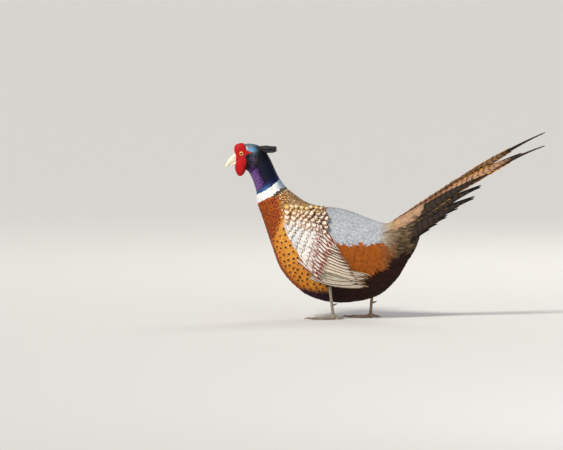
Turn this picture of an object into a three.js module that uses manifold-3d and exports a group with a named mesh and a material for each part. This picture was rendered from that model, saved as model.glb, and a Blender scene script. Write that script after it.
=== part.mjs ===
// A cock common pheasant, life size, in millimetres: standing in mid stride, head up, tail raised.
// +Z is up, the bird faces -X and its left side is -Y. The origin is the centre of the box's base, on the floor.
import * as THREE from "three";
import { mergeVertices } from "three/addons/utils/BufferGeometryUtils.js";
import Module from "manifold-3d";

const wasm = await Module();
wasm.setup();

// Driving sizes
const GAP = 0.3; // between parts that touch
const SLIVER = 0.04; // the most that a face moves where slivers are merged
const BODY_SIDES = 24; // facets round the body
const ORIGIN_X = 0.35; // moves the whole bird so that its box is centred

// The body's side view, station by station from the bill's root to the tail coverts.
// Each row: front or underside x and z, back or top x and z, half width, and how much narrower the underside is.
const BODY = [
  [-303.0, 322.0, -303.5, 337.0, 7.0, 0.0],
  [-305.5, 317.0, -306.0, 346.5, 12.0, 0.0],
  [-302.5, 311.5, -296.0, 355.5, 15.5, 0.0],
  [-296.0, 307.0, -278.0, 358.8, 17.5, 0.0],
  [-289.0, 304.5, -259.0, 355.0, 18.0, 0.0],
  [-281.9, 302.5, -245.0, 343.5, 18.5, 0.0],
  [-273.7, 288.0, -233.7, 324.9, 20.0, 0.0],
  [-267.5, 271.6, -224.5, 304.4, 21.5, 0.05],
  [-263.8, 257.3, -213.2, 282.9, 24.0, 0.1],
  [-263.4, 240.9, -201.9, 268.5, 29.5, 0.1],
  [-256.2, 216.3, -180.4, 252.1, 39.0, 0.15],
  [-247.0, 187.6, -157.8, 238.8, 49.0, 0.2],
  [-233.7, 148.6, -131.2, 230.6, 58.0, 0.25],
  [-213.2, 97.4, -100.4, 228.6, 64.0, 0.35],
  [-174.2, 56.4, -71.8, 222.4, 66.0, 0.45],
  [-123.0, 35.5, -47.1, 213.2, 62.0, 0.5],
  [-68.0, 34.0, -22.5, 204.0, 53.0, 0.5],
  [-14.0, 48.0, -2.0, 198.0, 41.0, 0.4],
  [24.0, 82.0, 8.0, 198.5, 30.0, 0.3],
  [43.0, 114.0, 35.0, 213.0, 25.0, 0.3],
  [60.0, 142.0, 62.0, 229.0, 19.0, 0.3],
  [69.0, 172.0, 84.0, 241.5, 12.0, 0.2],
];
const THROAT = 5; // the station where the head ends
const COLLAR = 9.35; // and the neck, below the white ring
const RUMP = 18; // and the torso, at the root of the tail
const TAIL_CORE_END = BODY.length - 1;
const ROWS_PER_STATION = 2;

const BILL_UPPER = [
  // ridge x and z, cutting edge x and z, half width
  [-300.0, 342.0, -297.0, 322.8, 8.6],
  [-308.5, 338.5, -304.4, 321.6, 7.9],
  [-315.5, 332.4, -311.5, 319.4, 6.7],
  [-321.4, 325.4, -317.8, 316.8, 5.2],
  [-325.6, 318.0, -322.6, 313.4, 3.6],
  [-327.6, 311.6, -325.6, 310.0, 2.0],
  [-327.8, 307.0, -327.0, 306.6, 0.7],
];
const BILL_LOWER = [
  [-296.0, 322.3, -296.0, 311.4, 7.4],
  [-304.6, 321.1, -304.0, 312.4, 6.9],
  [-311.2, 318.7, -311.0, 313.0, 5.6],
  [-316.4, 316.3, -316.2, 313.6, 3.8],
  [-319.8, 314.9, -319.8, 314.2, 1.6],
];

const EYE = { x: -293.1, z: 338.6, y: 12.6, radius: 6.6 };
const LID = { radius: 5.3, thickness: 1.25, y: 18.6 };

// Each lobe of the bare red face: centre x and z, distance from the middle plane, half sizes along x, y and z.
const FACE_LOBES = [
  [-295.0, 341.0, 13.4, 13.5, 5.6, 15.0],
  [-295.4, 323.0, 13.8, 10.4, 5.4, 16.0],
  [-295.2, 307.6, 14.0, 9.8, 4.4, 16.0],
  [-278.5, 341.8, 15.6, 9.0, 3.2, 2.4],
];
const FACE_FOLDS = { count: 4, x: -301.5, step: 4.2, z: 314.0, y: 17.2, half: [1.1, 1.7, 12.0] };

const TUFT = { root: [-249.0, 8.5, 346.5], length: 27, vanes: 5, depth: 11.5, thickness: 1.2, width: 5.0 };

const SHANK_TOP_RADIUS = 4.2;
const SHANK_RADIUS = 3.1;
const SHANK_SCUTES = 7;
const LEGS = {
  // knee inside the flank, hock, and foot joint
  left: { side: -1, knee: [-126, 32, 108], hock: [-111, 36.5, 68], foot: [-104, 31, 6.5] },
  right: { side: 1, knee: [-66, 30, 112], hock: [-26, 34, 71], foot: [-31, 29, 6.5] },
};
const THIGH_RADII = [19, 15, 10.5, 6.6, 5.0];
const TOE_RADIUS = 3.3;
// Each toe: name, length without the claw, turn from straight ahead in degrees, claw length
const TOES = [
  ["inner", 37, -27, 9],
  ["middle", 50, 1, 10],
  ["outer", 39, 28, 9],
  ["hind", 15, 186, 8],
];
const SPUR = { share: 0.62, length: 12, radius: 2.6 };

// Small helpers
const vec = (x, y, z) => new THREE.Vector3(x, y, z);
const mix = (a, b, t) => a + (b - a) * t;

// Small variation from one feather to the next, the same on every run
let seed = 20611;
function vary(size) {
  seed = (seed * 16807) % 2147483647;
  return size * ((2 * seed) / 2147483647 - 1);
}

function catmullRow(table, t) {
  const i = Math.max(0, Math.min(Math.floor(t), table.length - 2));
  const u = t - i;
  const row = (k) => table[Math.max(0, Math.min(table.length - 1, k))];
  const [p0, p1, p2, p3] = [row(i - 1), row(i), row(i + 1), row(i + 2)];
  return p1.map(
    (v, c) =>
      v +
      0.5 * u * (p2[c] - p0[c] + u * (2 * p0[c] - 5 * v + 4 * p2[c] - p3[c] + u * (3 * (v - p2[c]) + p3[c] - p0[c]))),
  );
}

// A closed surface through rings of equal point counts. The second half of each ring is split the other way, so that
// the two faces of a thin vane have their triangles alike.
function ringsGeometry(rings) {
  const n = rings[0].length;
  const positions = rings.flatMap((ring) => ring.flatMap((p) => [p.x, p.y, p.z]));
  const index = [];
  for (let k = 0; k + 1 < rings.length; k++) {
    for (let j = 0; j < n; j++) {
      const a = k * n + j;
      const b = k * n + ((j + 1) % n);
      const [c, d] = [a + n, b + n];
      if (j < n / 2) index.push(a, b, d, a, d, c);
      else index.push(a, b, c, b, d, c);
    }
  }
  const last = (rings.length - 1) * n;
  for (let j = 1; j + 1 < n; j++) {
    index.push(0, j + 1, j);
    index.push(last, last + j, last + j + 1);
  }
  const geometry = new THREE.BufferGeometry();
  geometry.setAttribute("position", new THREE.Float32BufferAttribute(positions, 3));
  geometry.setIndex(index);
  return geometry;
}

function solidOf(geometry) {
  const bare = geometry.clone();
  bare.deleteAttribute("normal");
  bare.deleteAttribute("uv");
  const merged = mergeVertices(bare, 1e-4);
  const vertProperties = merged.attributes.position.array;
  const triVerts = new Uint32Array(merged.index.array);
  const made = new wasm.Manifold(new wasm.Mesh({ numProp: 3, vertProperties, triVerts }));
  if (made.volume() > 0) return made;
  for (let i = 0; i < triVerts.length; i += 3) [triVerts[i], triVerts[i + 1]] = [triVerts[i + 1], triVerts[i]];
  return new wasm.Manifold(new wasm.Mesh({ numProp: 3, vertProperties, triVerts }));
}

const joined = (solids) => solids.reduce((all, s) => all.add(s));

// The largest piece of a cut solid, without the slivers that its cuts leave
function largest(solid) {
  const piece = solid.decompose().reduce((best, s) => (s.volume() > best.volume() ? s : best));
  return piece.asOriginal().simplify(SLIVER);
}

const mirrored = (solid) => solid.mirror([0, 1, 0]);

function geometryOf(solid) {
  const { vertProperties, triVerts } = solid.getMesh();
  const geometry = new THREE.BufferGeometry();
  geometry.setAttribute("position", new THREE.Float32BufferAttribute(vertProperties, 3));
  geometry.setIndex([...triVerts]);
  geometry.computeVertexNormals();
  return geometry;
}

function ellipsoid([x, y, z], [rx, ry, rz], sides = 16) {
  return solidOf(new THREE.SphereGeometry(1, sides, Math.max(6, sides * 0.6)).scale(rx, ry, rz).translate(x, y, z));
}

// A round tube through points, one radius for each, with an optional flattening of its height
function tube(points, radii, sides, height = 1) {
  const path = points.map((p) => vec(...p));
  const rings = path.map((p, i) => {
    const ahead = path[Math.min(i + 1, path.length - 1)].clone();
    const along = ahead.sub(path[Math.max(i - 1, 0)]).normalize();
    const across = Math.abs(along.y) > 0.9 ? vec(1, 0, 0) : vec(0, 1, 0);
    const up = across.clone().cross(along).normalize();
    const side = along.clone().cross(up).normalize();
    return Array.from({ length: sides }, (_, j) => {
      const angle = (2 * Math.PI * (j + 0.5)) / sides;
      return p
        .clone()
        .addScaledVector(side, radii[i] * Math.cos(angle))
        .addScaledVector(up, radii[i] * height * Math.sin(angle));
    });
  });
  return solidOf(ringsGeometry(rings));
}

// The body as one loft, which thin cuts part into head, neck, torso and the tail's covert cone
function bodySection(t, grow) {
  const [fx, fz, bx, bz, half, keel] = catmullRow(BODY, t);
  const depth = Math.hypot(bx - fx, bz - fz) / 2;
  const stretch = (depth + grow) / depth;
  return Array.from({ length: BODY_SIDES }, (_, j) => {
    const angle = (2 * Math.PI * j) / BODY_SIDES;
    const up = Math.cos(angle);
    const narrow = 1 - keel * ((1 - up) / 2) ** 2;
    return vec(
      (fx + bx) / 2 + ((bx - fx) / 2) * stretch * up,
      (half * narrow + grow) * Math.sin(angle),
      (fz + bz) / 2 + ((bz - fz) / 2) * stretch * up,
    );
  });
}

function bodyLoft(from, to, grow = 0) {
  const first = Math.ceil((from + 0.1) * ROWS_PER_STATION);
  const last = Math.floor((to - 0.1) * ROWS_PER_STATION);
  const between = Array.from({ length: last - first + 1 }, (_, k) => (first + k) / ROWS_PER_STATION);
  return ringsGeometry([from, ...between, to].map((t) => bodySection(t, grow)));
}

// Half of a thin cut at a station, as a share of the way to the next one
function halfCut(t) {
  const middle = (s) => {
    const [fx, fz, bx, bz] = catmullRow(BODY, s);
    return vec((fx + bx) / 2, 0, (fz + bz) / 2);
  };
  return ((GAP / 2) * 0.02) / middle(t - 0.01).distanceTo(middle(t + 0.01));
}

const cut = { throat: halfCut(THROAT), collar: halfCut(COLLAR), rump: halfCut(RUMP) };
const wholeBodyGrown = solidOf(bodyLoft(-0.1, TAIL_CORE_END, GAP));

// Eyes
const eyeSolid = (side, grow = 0) =>
  ellipsoid([EYE.x, side * EYE.y, EYE.z], [EYE.radius + grow, EYE.radius + grow, EYE.radius + grow], 14);

// Head, neck and torso
const head = solidOf(bodyLoft(0, THROAT - cut.throat)).subtract(eyeSolid(-1, GAP)).subtract(eyeSolid(1, GAP));
const neck = solidOf(bodyLoft(THROAT + cut.throat, COLLAR - cut.collar));
const torso = solidOf(bodyLoft(COLLAR + cut.collar, RUMP - cut.rump));
const tailCore = solidOf(bodyLoft(RUMP + cut.rump, TAIL_CORE_END));

// Bill: two horny sheaths that meet along the line of the mouth
function billLoft(table) {
  const sides = 10;
  const steps = (table.length - 1) * 2;
  const rings = Array.from({ length: steps + 1 }, (_, k) => {
    const [tx, tz, ex, ez, half] = catmullRow(table, (k / steps) * (table.length - 1));
    return Array.from({ length: sides }, (_, j) => {
      const angle = (2 * Math.PI * j) / sides;
      const up = Math.cos(angle);
      return vec((tx + ex) / 2 + ((tx - ex) / 2) * up, half * Math.sin(angle), (tz + ez) / 2 + ((tz - ez) / 2) * up);
    });
  });
  return solidOf(ringsGeometry(rings));
}

function nostril(side) {
  return ellipsoid([-309.8, side * 7.0, 330.4], [3.0, 2.2, 1.3], 6);
}

const nostrilCover = (side) => ellipsoid([-309.4, side * 5.9, 332.8], [4.2, 2.2, 1.8], 6);
const headRoom = joined([wholeBodyGrown, head.translate([-GAP, 0, 0]), head]);
const billUpper = largest(
  joined([billLoft(BILL_UPPER), nostrilCover(-1), nostrilCover(1)])
    .subtract(nostril(-1))
    .subtract(nostril(1))
    .subtract(headRoom),
);
const billLower = largest(billLoft(BILL_LOWER).subtract(headRoom));

// Bare red face: lobes with upright folds, a raised rim round the eye, cut clear of the head, eye and bill
function faceSolid() {
  const lobes = FACE_LOBES.map(([x, z, y, rx, ry, rz]) => ellipsoid([x, -y, z], [rx, ry, rz], 10));
  const folds = Array.from({ length: FACE_FOLDS.count }, (_, i) =>
    ellipsoid([FACE_FOLDS.x + i * FACE_FOLDS.step, -FACE_FOLDS.y, FACE_FOLDS.z + (i % 2) * 3], FACE_FOLDS.half, 6),
  );
  const rim = solidOf(
    new THREE.TorusGeometry(LID.radius, LID.thickness, 5, 14).rotateX(Math.PI / 2).translate(EYE.x, -LID.y, EYE.z),
  );
  return joined([...lobes, ...folds, rim]).subtract(eyeSolid(-1, GAP));
}

const billClear = joined([billUpper, billLower]).scale([1, 1.04, 1]);
const face = largest(faceSolid().subtract(headRoom).subtract(billClear));

// A flat vane: centre line, half widths, thickness and the direction that its face looks
function vane(centres, halves, thicks, faces, sides) {
  const rings = centres.map((c, k) => {
    const across = sides[k].clone().multiplyScalar(halves[k]);
    const lift = faces[k].clone().multiplyScalar(thicks[k] / 2);
    return [
      c.clone().sub(across).add(lift),
      c.clone().add(across).add(lift),
      c.clone().add(across).sub(lift),
      c.clone().sub(across).sub(lift),
    ];
  });
  return solidOf(ringsGeometry(rings));
}

// Ear tuft: stiff black feathers that stand back from the nape
function tuftSolid() {
  const [x, y, z] = TUFT.root;
  const vanes = Array.from({ length: TUFT.vanes }, (_, i) => {
    const share = i / (TUFT.vanes - 1) - 0.5;
    const steps = [-0.35, 0.3, 0.9, 1.0];
    const centres = steps.map((s) =>
      vec(x + s * TUFT.length, -(y - 1.2 * s + 1.0 * share), z + share * TUFT.depth * mix(0.35, 0.72, Math.max(s, 0))),
    );
    const halves = steps.map((s) => (TUFT.width / 2) * mix(0.8, 1, Math.max(s, 0)));
    const flat = steps.map(() => TUFT.thickness);
    return vane(centres, halves, flat, steps.map(() => vec(0, -1, 0.1 * share)), steps.map(() => vec(0, 0, 1)));
  });
  const root = ellipsoid([x + 1, -y, z], [6, 3.2, 5], 10);
  return joined([root, ...vanes]);
}

const tuft = largest(tuftSolid().subtract(wholeBodyGrown));

// Legs
const placed = (leg, [x, y, z]) => [x, leg.side * y, z];
const along = (a, b, t) => a.map((v, i) => mix(v, b[i], t));

function thighSolid(leg, grow = 0) {
  const [knee, hock] = [placed(leg, leg.knee), placed(leg, leg.hock)];
  const steps = THIGH_RADII.map((_, i) => i / (THIGH_RADII.length - 1));
  return tube(steps.map((s) => along(knee, hock, s * 0.97)), THIGH_RADII.map((r) => r + grow), 14);
}

function shankSolid(leg, grow = 0) {
  const [hock, foot] = [placed(leg, leg.hock), placed(leg, leg.foot)];
  const points = [along(hock, foot, -0.02)];
  const radii = [SHANK_TOP_RADIUS * 0.9 + grow];
  const rows = SHANK_SCUTES * 2;
  for (let i = 1; i <= rows; i++) {
    const s = i / rows;
    points.push(along(hock, foot, s * 0.97));
    const waist = mix(SHANK_TOP_RADIUS, SHANK_RADIUS, Math.min(1, s * 4)) + 0.5 * Math.max(0, s - 0.75) * 4;
    radii.push(waist + grow + (i % 2 ? 0.22 : -0.05));
  }
  return tube(points, radii, 8);
}

// One toe: joints as swellings, the underside cut flat on the floor
function toePath([, length, turn], leg) {
  const [fx, fy] = placed(leg, leg.foot);
  const angle = THREE.MathUtils.degToRad(180 - leg.side * turn);
  const lifts = turn > 90 ? [7.0, 2.9] : [5.5, 3.6, 3.1, 2.9, 2.5];
  return lifts.map((z, i) => {
    const reach = (length * i) / (lifts.length - 1);
    return [fx + reach * Math.cos(angle), fy + reach * Math.sin(angle), z];
  });
}

const floorBlock = solidOf(new THREE.BoxGeometry(2000, 2000, 100).translate(0, 0, -50));

function footSolid(leg) {
  const toes = TOES.map((toe) => {
    const path = toePath(toe, leg);
    const radii = path.map((_, i) => TOE_RADIUS * (1 - 0.1 * i) * (i % 2 ? 0.96 : 1.06));
    return tube(path, radii, 7);
  });
  const pad = ellipsoid([...placed(leg, leg.foot).slice(0, 2), 4.6], [6.2, 5.4, 5.6], 10);
  return joined([...toes, pad]).subtract(floorBlock);
}

function clawSolid(toe, leg) {
  const path = toePath(toe, leg);
  const tip = path[path.length - 1];
  const before = path[path.length - 2];
  const ahead = vec(tip[0] - before[0], tip[1] - before[1], 0).normalize();
  const length = toe[3];
  const shape = [
    [-2.2, 3.0, 1.75],
    [1.6, 3.4, 1.7],
    [length * 0.55, 2.7, 1.2],
    [length, 0.75, 0.45],
  ];
  const points = shape.map(([reach, z]) => [tip[0] + ahead.x * reach, tip[1] + ahead.y * reach, z]);
  return tube(points, shape.map((row) => row[2]), 6).subtract(floorBlock);
}

function spurSolid(leg) {
  const [hock, foot] = [placed(leg, leg.hock), placed(leg, leg.foot)];
  const [x, y, z] = along(hock, foot, SPUR.share);
  const inward = -leg.side;
  return tube(
    [
      [x + 1.5, y, z],
      [x + SPUR.length * 0.5, y + inward * 1.6, z + 1.0],
      [x + SPUR.length, y + inward * 3.0, z + 3.4],
    ],
    [SPUR.radius, SPUR.radius * 0.72, 0.4],
    8,
  );
}

// A feather's blade between two points, as rings of four, or of six with its shaft as a ridge.
// The place function turns a share of its length, a distance across and a depth below its face into a point.
const BLADE_STEPS = [0, 0.45, 0.86, 1];
const BLADE_HALVES = [0.55, 1, 0.86, 0.2];

function blade({ half, thick, place, ridge = 0, steps = BLADE_STEPS, halves = BLADE_HALVES }) {
  const across = ridge ? [-1, 0, 1] : [-1, 1];
  const rings = steps.map((s, k) => {
    const rise = (a) => (a === 0 ? -ridge : 0);
    const thin = thick * (s > 0.9 ? 0.75 : 1);
    const outer = across.map((a) => place(s, a * half * halves[k], rise(a)));
    const inner = across.map((a) => place(s, a * half * halves[k], rise(a) + thin));
    return [...outer, ...inner.reverse()];
  });
  return solidOf(ringsGeometry(rings));
}

// Wing: a core that hugs the flank, and tiers of blades that overlap down and back.
// The core's edges in the side view, from the shoulder to the tip: lower edge x and z, upper edge x and z.
const WING_EDGES = [
  [-205, 203, -200, 213],
  [-203, 190, -183, 224],
  [-183, 155, -153, 226],
  [-163, 124, -118, 222],
  [-150, 98, -107, 188],
  [-116, 83, -100, 148],
  [-68, 81, -68, 95],
];
const WING = { peak: [-130, 140], bulge: 65, fall: [0.0016, 0.0034], cover: 6, hug: 2.6, ramp: 0.8 };

// Each tier: how many, the first and last root and tip in the side view (x, z), half width, thickness, how far the
// root and the tip stand out from the core, how much the lower edge is lifted over its neighbour, and the bow.
const WING_TIERS = [
  // primaries, then secondaries
  { count: 5, roots: [[-150, 88], [-120, 112]], tips: [[-31, 70], [-27, 88]], half: 6.4, thick: 0.9,
    out: [-2.4, -0.9], lift: 0.6, bow: -5, shorten: [0, 24, 6, 14, 0] },
  { count: 6, roots: [[-150, 104], [-140, 176]], tips: [[-52, 84], [-96, 143]], half: 10, thick: 0.9,
    out: [-1.6, 0.9], lift: 1.0, bow: 4, shorten: [0] },
  // greater, then median coverts
  { count: 5, roots: [[-176, 128], [-136, 192]], tips: [[-134, 82], [-99, 146]], half: 9.6, thick: 0.9,
    out: [-1.0, 2.4], lift: 1.0, bow: 3, shorten: [0, 3] },
  { count: 4, roots: [[-190, 152], [-140, 196]], tips: [[-165, 108], [-118, 164]], half: 10.5, thick: 0.9,
    out: [-0.9, 3.0], lift: 0.9, bow: 2, shorten: [0, 2] },
  // three rows of scapulars, lowest first
  { count: 4, roots: [[-186, 178], [-140, 206]], tips: [[-152, 168], [-108, 178]], half: 10.5, thick: 1,
    out: [-0.9, 3.4], lift: 0.8, bow: 2, shorten: [0, 2] },
  { count: 4, roots: [[-172, 198], [-146, 220]], tips: [[-134, 190], [-106, 214]], half: 8.5, thick: 1,
    out: [-0.9, 3.6], lift: 0.8, bow: 2, shorten: [0, 3] },
  { count: 3, roots: [[-203, 192], [-184, 224]], tips: [[-174, 180], [-152, 222]], half: 11.5, thick: 1,
    out: [-0.9, 3.8], lift: 0.8, bow: 2, shorten: [0, 2] },
];

const bothSides = new THREE.MeshBasicMaterial({ side: THREE.DoubleSide });
const torsoMesh = new THREE.Mesh(bodyLoft(COLLAR, RUMP), bothSides);
const caster = new THREE.Raycaster();

// How far the torso reaches sideways at a point of its side view, or 0 past its outline
function torsoReach(x, z) {
  caster.set(vec(x, -500, z), vec(0, 1, 0));
  const hit = caster.intersectObject(torsoMesh)[0];
  return hit ? -hit.point.y : 0;
}

// How far out the wing's surface lies: close over the back, and standing off the belly below
function wingReach(x, z) {
  const stiff = WING.bulge - WING.fall[0] * (x - WING.peak[0]) ** 2 - WING.fall[1] * (z - WING.peak[1]) ** 2;
  const torsoSide = torsoReach(x, z);
  const limit = torsoSide + WING.cover + WING.ramp * Math.max(0, WING.peak[1] - z);
  return Math.max(Math.min(stiff, limit), torsoSide + WING.hug);
}

// A point of the wing's surface in the side view, moved out along the surface's own direction
function wingPoint(x, z, out) {
  const span = 5;
  const slopeX = (wingReach(x + span, z) - wingReach(x - span, z)) / (2 * span);
  const slopeZ = (wingReach(x, z + span) - wingReach(x, z - span)) / (2 * span);
  const limit = (v) => Math.max(-1.6, Math.min(1.6, v));
  const outward = vec(-limit(slopeX), -1, -limit(slopeZ)).normalize();
  return vec(x, -wingReach(x, z), z).addScaledVector(outward, out);
}

function wingCore() {
  const rows = 9;
  const columns = 4;
  const rings = Array.from({ length: rows + 1 }, (_, k) => {
    const s = k / rows;
    const [lx, lz, ux, uz] = catmullRow(WING_EDGES, s * (WING_EDGES.length - 1));
    const across = Array.from({ length: columns + 1 }, (_, j) => j / columns);
    const layer = (depth) => across.map((t) => wingPoint(mix(lx, ux, t), mix(lz, uz, t), depth(t)));
    const thick = (t) => mix(1.6, mix(13, 4, s ** 2), 4 * t * (1 - t));
    return [...layer(() => -0.5), ...layer((t) => -0.5 - thick(t)).reverse()];
  });
  return solidOf(ringsGeometry(rings));
}

function wingBlades(tier) {
  return Array.from({ length: tier.count }, (_, i) => {
    const u = i / (tier.count - 1);
    const pick = (pair) => [0, 1].map((c) => mix(pair[0][c], pair[1][c], u));
    const root = pick(tier.roots).map((v) => v + vary(1.5));
    const tip = pick(tier.tips).map((v) => v + vary(1.2));
    const length = Math.hypot(tip[0] - root[0], tip[1] - root[1]);
    const ahead = [(tip[0] - root[0]) / length, (tip[1] - root[1]) / length];
    const reachTo = length - tier.shorten[i % tier.shorten.length];
    return blade({
      half: tier.half * (1 + vary(0.06)),
      thick: tier.thick,
      place: (s, d, depth) => {
        const bend = tier.bow * 4 * s * (1 - s);
        const x = root[0] + ahead[0] * reachTo * s - ahead[1] * (d + bend);
        const z = root[1] + ahead[1] * reachTo * s + ahead[0] * (d + bend);
        const out = mix(tier.out[0], tier.out[1], s) + tier.lift * (-d / tier.half) + i * 0.04;
        return wingPoint(x, z, out - depth);
      },
    });
  });
}

const leftWing = () => joined([wingCore(), ...WING_TIERS.flatMap(wingBlades)]);

// Tail: eighteen blades in pairs under one another, shaped like a roof, longest pair on top.
// Each pair: tip x and z, half width, how far its shaft lies from the middle plane at the root and tip, face turn.
const TAIL = { root: [-2, 184], step: [0.6, -5.6], spread: [2.5, 2.3], thick: 1.2 };
const TAIL_PAIRS = [
  { tip: [326.5, 369.8], split: 13.2, half: 13.5, y: 8, turn: 46, sag: -9 },
  { tip: [279.0, 339.0], split: 1.5, half: 12.5, y: 13, turn: 55, sag: -7 },
  { tip: [211.0, 299.0], split: 1.0, half: 12, y: 18, turn: 62, sag: -5 },
  { tip: [196.0, 273.0], split: 1.0, half: 12, y: 22, turn: 68, sag: -4 },
  { tip: [183.0, 250.0], split: 1.0, half: 11.5, y: 25, turn: 72, sag: -3 },
  { tip: [150.0, 229.0], split: 1.0, half: 11, y: 25, turn: 76, sag: -3 },
  { tip: [127.0, 211.0], split: 1.0, half: 10.5, y: 24, turn: 80, sag: -2 },
  { tip: [108.0, 197.0], split: 1.0, half: 10, y: 22, turn: 84, sag: -2 },
  { tip: [93.0, 186.0], split: 1.0, half: 9, y: 19, turn: 88, sag: -1 },
];

const TAIL_LONG = { ridge: 0.5, steps: [0, 0.3, 0.62, 0.86, 0.96, 1], halves: [0.75, 1, 0.86, 0.6, 0.34, 0.06] };
const TAIL_SHORT = { ridge: 0, steps: [0, 0.5, 0.86, 1], halves: [0.75, 1, 0.7, 0.12] };

// A blade from a root to a tip in space, turned about its length; the side is -1 for left
function spaceBlade({ root, tip, half, turn, sag, side, thick, ridge, steps, halves }) {
  const [from, to] = [vec(...root), vec(...tip)];
  const ahead = to.clone().sub(from).normalize();
  const level = vec(0, side, 0).cross(ahead).cross(ahead).negate().normalize();
  const up = ahead.clone().cross(level).multiplyScalar(side).normalize();
  const angle = THREE.MathUtils.degToRad(turn);
  const across = level.clone().multiplyScalar(Math.cos(angle)).addScaledVector(up, -Math.sin(angle));
  const inward = up.clone().multiplyScalar(-Math.cos(angle)).addScaledVector(level, -Math.sin(angle));
  return blade({
    half,
    thick,
    ridge,
    steps,
    halves,
    place: (s, d, depth) =>
      from
        .clone()
        .lerp(to, s)
        .addScaledVector(up, -sag * 4 * s * (1 - s))
        .addScaledVector(across, d)
        .addScaledVector(inward, depth),
  });
}

function tailBlades(side) {
  return TAIL_PAIRS.map((pair, i) => {
    const low = vec(pair.tip[0], side * pair.y, pair.tip[1] + side * pair.split);
    const root = [
      TAIL.root[0] + TAIL.step[0] * i,
      side * (TAIL.spread[0] + TAIL.spread[1] * i * 0.8),
      TAIL.root[1] + TAIL.step[1] * i,
    ];
    return spaceBlade({
      ...pair,
      root,
      tip: low.toArray(),
      side,
      thick: mix(TAIL.thick, 1, i / TAIL_PAIRS.length),
      ...(i < 2 ? TAIL_LONG : TAIL_SHORT),
    });
  });
}

// Coverts of the tail's root, over and under it
const COVERTS = [
  { count: 2, x: 20, z: 203, reach: 62, half: 10, y: [4, 15], drop: 7, turn: 38, pitch: 30, out: 3 },
  { count: 3, x: 22, z: 176, reach: 52, half: 9, y: [19, 24], drop: -9, turn: 86, pitch: 22, out: 6 },
  { count: 2, x: 14, z: 126, reach: 46, half: 9, y: [22, 5], drop: -7, turn: 104, pitch: 44, out: 5 },
];

function covertBlades(side) {
  return COVERTS.flatMap((row) =>
    Array.from({ length: row.count }, (_, i) => {
      const u = i / (row.count - 1);
      const pitch = THREE.MathUtils.degToRad(row.pitch + vary(3));
      const y = mix(row.y[0], row.y[1], u);
      const root = [row.x, side * y * 0.75, row.z - Math.abs(row.drop) * u * (row.count - 1) * 0.5];
      const reach = row.reach * (1 + vary(0.08));
      const tip = [
        root[0] + reach * Math.cos(pitch),
        side * (y + row.out),
        root[2] + reach * Math.sin(pitch) + row.drop * 0.3,
      ];
      return spaceBlade({ root, tip, half: row.half, turn: row.turn - 6 * u, sag: -2, side, thick: 1.1 });
    }),
  );
}

const torsoGrown = joined([
  solidOf(bodyLoft(COLLAR + cut.collar, RUMP - cut.rump, GAP)),
  torso,
  torso.translate([GAP, 0, 0]),
]);
const tailVanes = [-1, 1].flatMap((side) => [...tailBlades(side), ...covertBlades(side)]);
const tail = largest(joined([tailCore, ...tailVanes]).subtract(torsoGrown));

// Colours
const finish = (color, roughness) => new THREE.MeshStandardMaterial({ color, roughness, metalness: 0 });
const MATERIALS = {
  crown: finish(0x1d3a45, 0.4),
  neck: finish(0x1a1c3c, 0.35),
  body: finish(0x9a4a18, 0.6),
  wing: finish(0xcfc6ba, 0.6),
  tail: finish(0x8d6a4c, 0.65),
  wattle: finish(0xc8101c, 0.5),
  eye: finish(0xc8781e, 0.08),
  bill: finish(0xe6dcc0, 0.45),
  leg: finish(0x8c8474, 0.6),
  claw: finish(0x4a4038, 0.5),
};

// Assembly
const bareWing = leftWing();
const pheasant = new THREE.Group();

function add(name, solid, material) {
  const mesh = new THREE.Mesh(geometryOf(solid), MATERIALS[material]);
  mesh.name = name;
  pheasant.add(mesh);
}

add("head", largest(head), "crown");
add("neck", neck, "neck");
add("torso", torso, "body");
add("tail", tail, "tail");
add("bill_upper", billUpper, "bill");
add("bill_lower", billLower, "bill");

for (const [name, leg] of Object.entries(LEGS)) {
  const sided = (leftSolid) => (leg.side < 0 ? leftSolid : mirrored(leftSolid));
  const foot = footSolid(leg);
  const shank = shankSolid(leg);
  const shankRoom = thighSolid(leg).hull();
  const wing = largest(sided(bareWing).subtract(wholeBodyGrown).subtract(thighSolid(leg, GAP)));
  add(`eye_${name}`, eyeSolid(leg.side), "eye");
  add(`wattle_${name}`, sided(face), "wattle");
  add(`tuft_${name}`, sided(tuft), "crown");
  add(`wing_${name}`, wing, "wing");
  add(`thigh_${name}`, largest(thighSolid(leg).subtract(wholeBodyGrown)), "body");
  add(`shank_${name}`, largest(shank.subtract(shankRoom.translate([0, 0, -GAP]))), "leg");
  add(`foot_${name}`, largest(foot.subtract(joined([0, -GAP].map((z) => shankSolid(leg, GAP).translate([0, 0, z]))))), "leg");
  add(`spur_${name}`, largest(spurSolid(leg).subtract(shankSolid(leg, GAP))), "claw");
  for (const toe of TOES) {
    const claw = clawSolid(toe, leg).subtract(foot);
    add(`claw_${toe[0]}_${name}`, largest(claw), "claw");
  }
}

pheasant.children.forEach((mesh) => mesh.position.setX(ORIGIN_X));

export default pheasant;
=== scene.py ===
"""Dresses the frame of a cock common pheasant: skin, feathers, bare face, eyes, bill, legs and stage."""

import math
import random

import bmesh
import bpy
import numpy as np
from bpy.props import FloatProperty, FloatVectorProperty, IntProperty, PointerProperty
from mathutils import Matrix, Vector
from mathutils.bvhtree import BVHTree
from mathutils.kdtree import KDTree


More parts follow.
